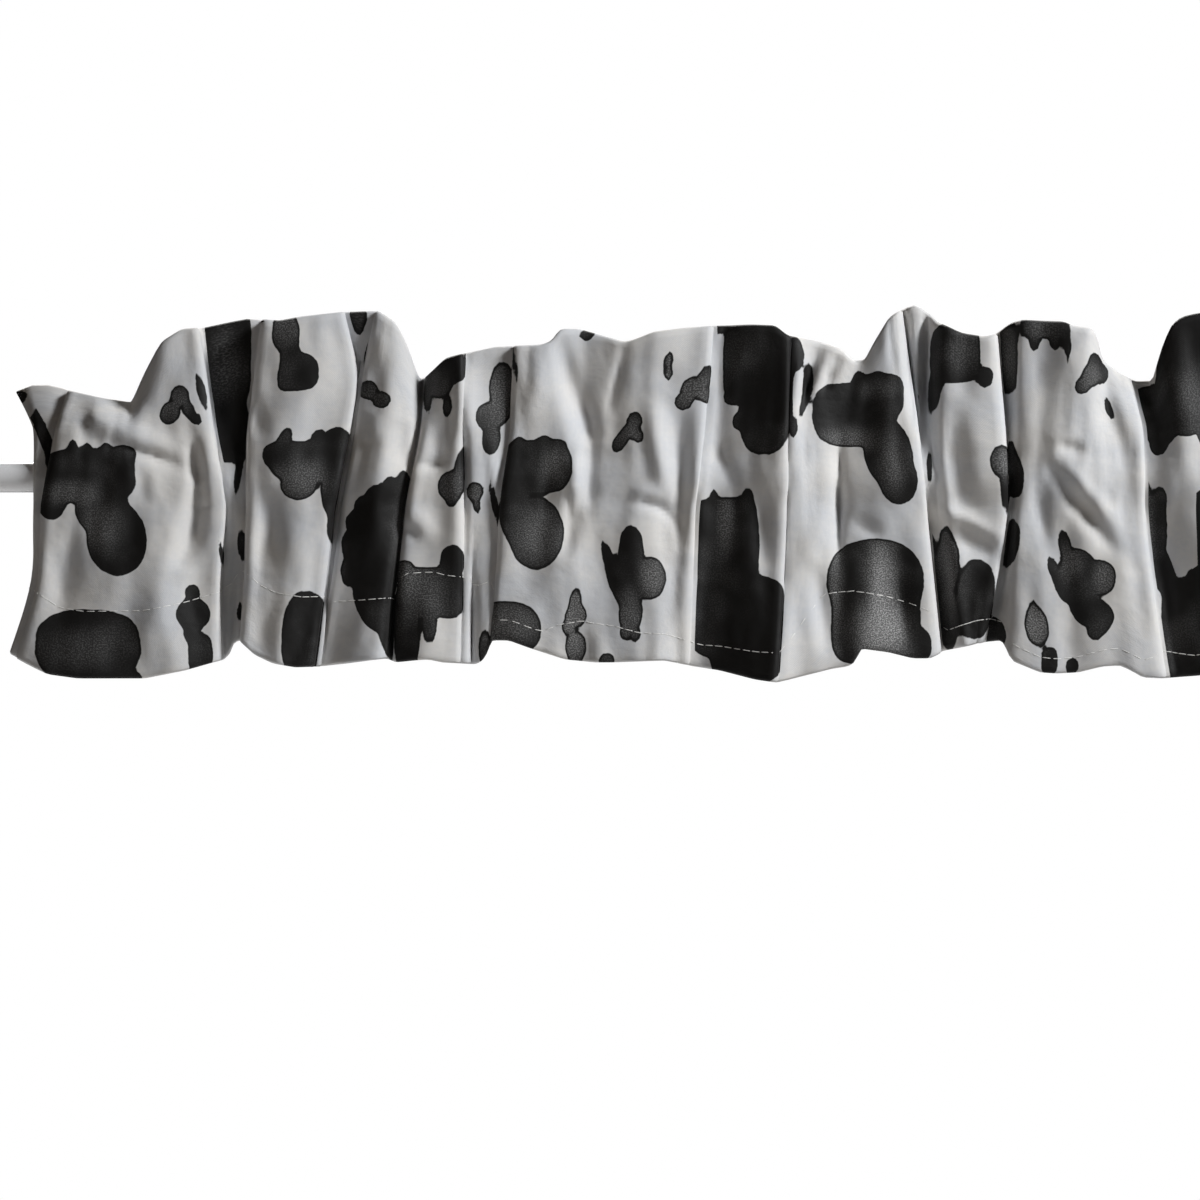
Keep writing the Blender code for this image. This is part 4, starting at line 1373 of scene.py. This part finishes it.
    def build(self) -> bpy.types.Object:
        """Makes the cloth's mesh, its print and its two materials.

        Returns:
            The finished piece.
        """
        d = self.drape
        along = d.columns(self.widest_column, self.widest_unseen, self.photo_end)
        moved, plain, hem, top = self.placed(along)
        down, across = moved.shape[:2]
        index = np.arange(down * across).reshape(down, across)
        corners = (index[:-1, :-1], index[:-1, 1:], index[1:, 1:], index[1:, :-1])
        faces = np.stack(corners, axis=-1).reshape(-1, 4).tolist()
        finishes = (side.material() for side in (self.right_side, self.wrong_side))
        cloth = d.piece("valance_cloth", moved, faces, *finishes)
        mesh = cloth.data
        run = np.linalg.norm(np.diff(plain, axis=0), axis=2)
        length = np.concatenate([np.zeros((1, across)), np.cumsum(run, axis=0)])
        unfolded = plain[..., 2].copy()
        unfolded[:hem] = plain[hem, :, 2] - (length[hem] - length[:hem])
        unfolded[top:] = plain[top, :, 2] + (length[top:] - length[top])
        front = np.zeros((down, across), bool)
        front[hem : top + 1] = True
        panel = np.broadcast_to(d.panel(along), (down, across))
        ink = self.cow_print.ink(plain[..., 0], unfolded, panel, front)
        # painted sheen: how far the black print is painted grey, as if lit, at each point
        painted_sheen = self.cow_print.painted_sheen(plain[..., 0], unfolded)
        for name, values in (("ink", ink), ("painted_sheen", painted_sheen)):
            attribute = mesh.attributes.new(name, "FLOAT", "POINT")
            attribute.data.foreach_set("value", values.astype(np.float32).ravel())
        flat = np.stack(np.broadcast_arrays(along, length.mean(axis=1)[:, None]), axis=-1)
        corners = np.zeros(len(mesh.loops), np.int32)
        mesh.loops.foreach_get("vertex_index", corners)
        layer = mesh.uv_layers.new(name="flat_cloth")
        layer.data.foreach_set("uv", (flat.reshape(-1, 2)[corners] * MM).astype(np.float32).ravel())
        sheet = cloth.modifiers.new("cloth thickness", "SOLIDIFY")
        sheet.thickness = self.thickness * MM
        sheet.offset = 0.0
        sheet.material_offset = 1
        LOG.info("%s, %d columns of %d points", cloth.name, across, down)
        return cloth

    def register(self, cloth: bpy.types.Object) -> None:
        """Rides the cloth on the frame and hides the imported valance part.

        Args:
            cloth: The cloth piece.
        """
        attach(cloth, "root")
        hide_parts("valance")


@dataclass
class HemStitches:
    """The row of machine stitches that holds the turned-up hem."""

    cloth: ValanceCloth
    thread: WhiteThread = field(default_factory=WhiteThread)
    pitch: float = 4.85
    first: float = 3.0
    last: float = 2.0  # before the cloth's right end
    length: float = 4.1
    width: float = 0.46
    sides: int = 6
    straight_share: float = 0.72  # of the stitch's length, between its two tapered ends
    tip_width: float = 0.45  # share of its width that it keeps where it dips into the cloth
    sink: float = -0.04

    def model(self) -> bpy.types.Mesh:
        """One stitch, lying along X and bulging towards Z.

        Returns:
            Its mesh, in millimetres.
        """
        deselect()
        straight = self.length * self.straight_share
        bpy.ops.mesh.primitive_cylinder_add(vertices=self.sides, radius=self.width / 2, depth=straight)
        stitch = bpy.context.active_object
        pick_ends(2)
        taper = self.length * (1.0 - self.straight_share) / 2
        bpy.ops.mesh.extrude_faces_move(TRANSFORM_OT_shrink_fatten={"value": taper})
        bpy.ops.transform.resize(value=(self.tip_width, self.tip_width, 1.0))
        bpy.ops.object.mode_set(mode="OBJECT")
        stitch.rotation_euler = (0.0, math.radians(90.0), 0.0)
        bpy.ops.object.transform_apply(location=True, rotation=True, scale=True)
        mesh = stitch.data.copy()
        bpy.data.objects.remove(stitch, do_unlink=True)
        return mesh

    def build(self) -> bpy.types.Object:
        """Copies the stitch along the hem.

        Returns:
            The finished piece.
        """
        cloth, d = self.cloth, self.cloth.drape
        model = self.model()
        shape = np.array([v.co for v in model.vertices])
        polygons = [list(p.vertices) for p in model.polygons]
        bpy.data.meshes.remove(model)
        middles = np.arange(self.first, d.along[-1] - self.last, self.pitch)
        low, middle, high = (self.sewn(middles + side * self.length) for side in (-0.5, 0.0, 0.5))
        run = unit(high - low)
        out = cloth.normals(float(np.mean(cloth.sewn_level(middles))), middles)
        out = unit(out - (out * run).sum(axis=1, keepdims=True) * run)
        middle = (low + high) / 2 * 0.5 + middle * 0.5 + out * (cloth.thickness / 2 + self.sink)
        points = middle[:, None, :]
        for axis, way in enumerate((run, np.cross(out, run), out)):
            points = points + shape[None, :, axis : axis + 1] * way[:, None, :]
        starts = range(0, len(middles) * len(shape), len(shape))
        faces = [[corner + start for corner in polygon] for start in starts for polygon in polygons]
        stitches = d.piece("hem_stitches", points, faces, self.thread.material())
        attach(stitches, "root")
        return stitches

    def sewn(self, along: np.ndarray) -> np.ndarray:
        """Points of the front of the cloth on the sewing line.

        Args:
            along: Distances along the flat cloth.

        Returns:
            One point for each, creases and unevenness with it.
        """
        d = self.cloth.drape
        point = self.cloth.uneven_layer(self.cloth.sewn_level(along), along, d.layer_gap / 2)
        x, z = point[:, 0], point[:, 2]
        point[:, 1] += d.creased(x, z) + d.ripple(along, z) + d.pucker(along, z)
        return point


@dataclass
class CurtainRod:
    """The plain round white rod, a tube with a plug in each end."""

    length: float = 770.0
    radius: float = 8.0
    sides: int = 96
    rim: float = 1.1
    round_over: float = 0.5
    round_steps: int = 3
    round_from: float = 50.0  # degrees
    smooth_up_to: float = 35.0  # degrees
    plug_slope: float = 0.15
    plug_sunk: float = 0.8
    plug_edge: float = 4.0
    plug_crown: float = 0.35
    paint: SatinPaint = field(default_factory=SatinPaint)

    def build(self) -> bpy.types.Object:
        """Makes the rod from a cylinder with sunk end plugs and rounded rims.

        Returns:
            The finished piece.
        """
        deselect()
        bpy.ops.mesh.primitive_cylinder_add(
            vertices=self.sides,
            radius=self.radius * MM,
            depth=self.length * MM,
            end_fill_type="NGON",
            location=(self.length * MM / 2, 0.0, 0.0),
            rotation=(0.0, math.radians(90.0), 0.0),
        )
        rod = bpy.context.active_object
        rod.name = "curtain_rod"
        bpy.ops.object.transform_apply(location=True, rotation=True, scale=True)
        pick_ends(0)
        steps = ((self.rim, 0.0), (self.plug_slope, -self.plug_sunk), (self.plug_edge, self.plug_crown))
        for inward, rise in steps:
            bpy.ops.mesh.inset(thickness=inward * MM, depth=rise * MM)
        bpy.ops.object.mode_set(mode="OBJECT")
        edge = rod.modifiers.new("rounded rims", "BEVEL")
        edge.width = self.round_over * MM
        edge.segments = self.round_steps
        edge.limit_method = "ANGLE"
        edge.angle_limit = math.radians(self.round_from)
        bpy.ops.object.modifier_apply(modifier=edge.name)
        bpy.ops.object.shade_smooth_by_angle(angle=math.radians(self.smooth_up_to))
        rod.data.materials.clear()
        rod.data.materials.append(self.paint.material())
        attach(rod, "root")
        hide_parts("rod")
        return rod


class Lamp(NamedTuple):
    """A soft square light: its name, place in metres, side, power in watts and colour."""

    name: str
    place: tuple[float, float, float]
    side: float
    power: float
    color: tuple[float, float, float]


@dataclass
class Studio:
    """Pale floor, soft lights and the camera, straight on as in the photo."""

    middle: float = 0.33
    frame_height: float = -0.0615  # of the picture's middle
    frame_width: float = 0.6
    distance: float = 4.0
    front: float = 0.014
    floor_height: float = -1.3
    floor_size: float = 2.6
    floor_glow: float = 0.6
    floor_tones: tuple[Color, Color] = ((0.90, 0.90, 0.90, 1.0), (0.93, 0.93, 0.93, 1.0))
    floor_roughness: float = 0.9
    white: Color = (1.0, 1.0, 1.0, 1.0)
    room: Color = (1.0, 0.96, 0.91, 1.0)
    room_strength: float = 0.035
    aim: tuple[float, float, float] = (0.34, 0.0, 0.0)
    spread: float = 60.0
    lamps: tuple[Lamp, ...] = (
        Lamp("key", (2.3, -1.0, 1.3), 0.7, 10.2, (0.96, 0.98, 1.0)),
        Lamp("fill", (-1.6, -1.5, 0.5), 1.4, 0.38, (1.0, 0.84, 0.70)),
        Lamp("back", (0.2, 2.2, 1.2), 1.6, 12.0, (1.0, 0.98, 0.95)),
    )

    def light(self, lamp: Lamp) -> None:
        """Adds a soft area light that faces the valance.

        Args:
            lamp: Its name, place, side, power and colour.
        """
        data = bpy.data.lights.new(lamp.name, "AREA")
        data.shape = "SQUARE"
        data.size = lamp.side
        data.energy = lamp.power
        data.color = lamp.color
        data.spread = math.radians(self.spread)
        made = link(lamp.name, data)
        made.location = lamp.place
        x, y, z = np.array(self.aim) - np.array(lamp.place)
        made.rotation_euler = (math.pi / 2 + math.atan2(z, math.hypot(x, y)), 0.0, -math.atan2(x, y))

    def backdrop(self) -> None:
        """Sets the world: soft light on the valance, white where the camera sees past it."""
        world = bpy.data.worlds.new("soft room")
        world.use_nodes = True
        bpy.context.scene.world = world
        tree = world.node_tree
        choose = tree.nodes.new("ShaderNodeMixShader")
        path = tree.nodes.new("ShaderNodeLightPath")
        tree.links.new(path.outputs["Is Camera Ray"], choose.inputs[0])
        dim, seen = tree.nodes["Background"], tree.nodes.new("ShaderNodeBackground")
        settings = ((dim, self.room, self.room_strength), (seen, self.white, 1.0))
        for slot, (made, color, strength) in enumerate(settings, start=1):
            made.inputs["Color"].default_value = color
            made.inputs["Strength"].default_value = strength
            tree.links.new(made.outputs[0], choose.inputs[slot])
        tree.links.new(choose.outputs[0], tree.nodes["World Output"].inputs["Surface"])

    def floor(self) -> None:
        """Adds the pale floor under the valance, lit from within like a light table."""
        deselect()
        bpy.ops.mesh.primitive_plane_add(size=self.floor_size, location=(self.middle, 0.0, self.floor_height))
        floor = bpy.context.active_object
        floor.name = "floor"
        g = Graph("pale_floor")
        looks = {
            "Base Color": g.mix(g.noise(g.node("TexCoord").outputs["Object"], 3.0), *self.floor_tones),
            "Roughness": self.floor_roughness,
            "Emission Color": self.white,
            "Emission Strength": self.floor_glow,
        }
        floor.data.materials.append(g.dress(looks))

    def camera(self) -> None:
        """Adds the camera."""
        data = bpy.data.cameras.new("camera")
        data.lens = data.sensor_width * self.distance / self.frame_width
        data.clip_end = 50.0
        camera = link("camera", data)
        camera.location = (self.middle, -self.front - self.distance, self.frame_height)
        camera.rotation_euler = (math.pi / 2, 0.0, 0.0)
        bpy.context.scene.camera = camera

    def build(self) -> None:
        """Sets up the whole studio."""
        bpy.context.scene.view_settings.view_transform = "Standard"
        self.camera()
        self.backdrop()
        self.floor()
        for lamp in self.lamps:
            self.light(lamp)


def main() -> None:
    """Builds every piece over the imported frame."""
    logging.basicConfig(level=logging.INFO, format="%(name)s: %(message)s")
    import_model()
    rod = CurtainRod().build()
    LOG.info("%s, %d faces", rod.name, len(rod.data.polygons))
    valance = ValanceCloth()
    cloth = valance.build()
    stitches = HemStitches(valance).build()
    LOG.info("%s, %d faces", stitches.name, len(stitches.data.polygons))
    valance.register(cloth)
    Studio().build()
    bpy.context.view_layer.update()


if __name__ == "__main__":
    main()
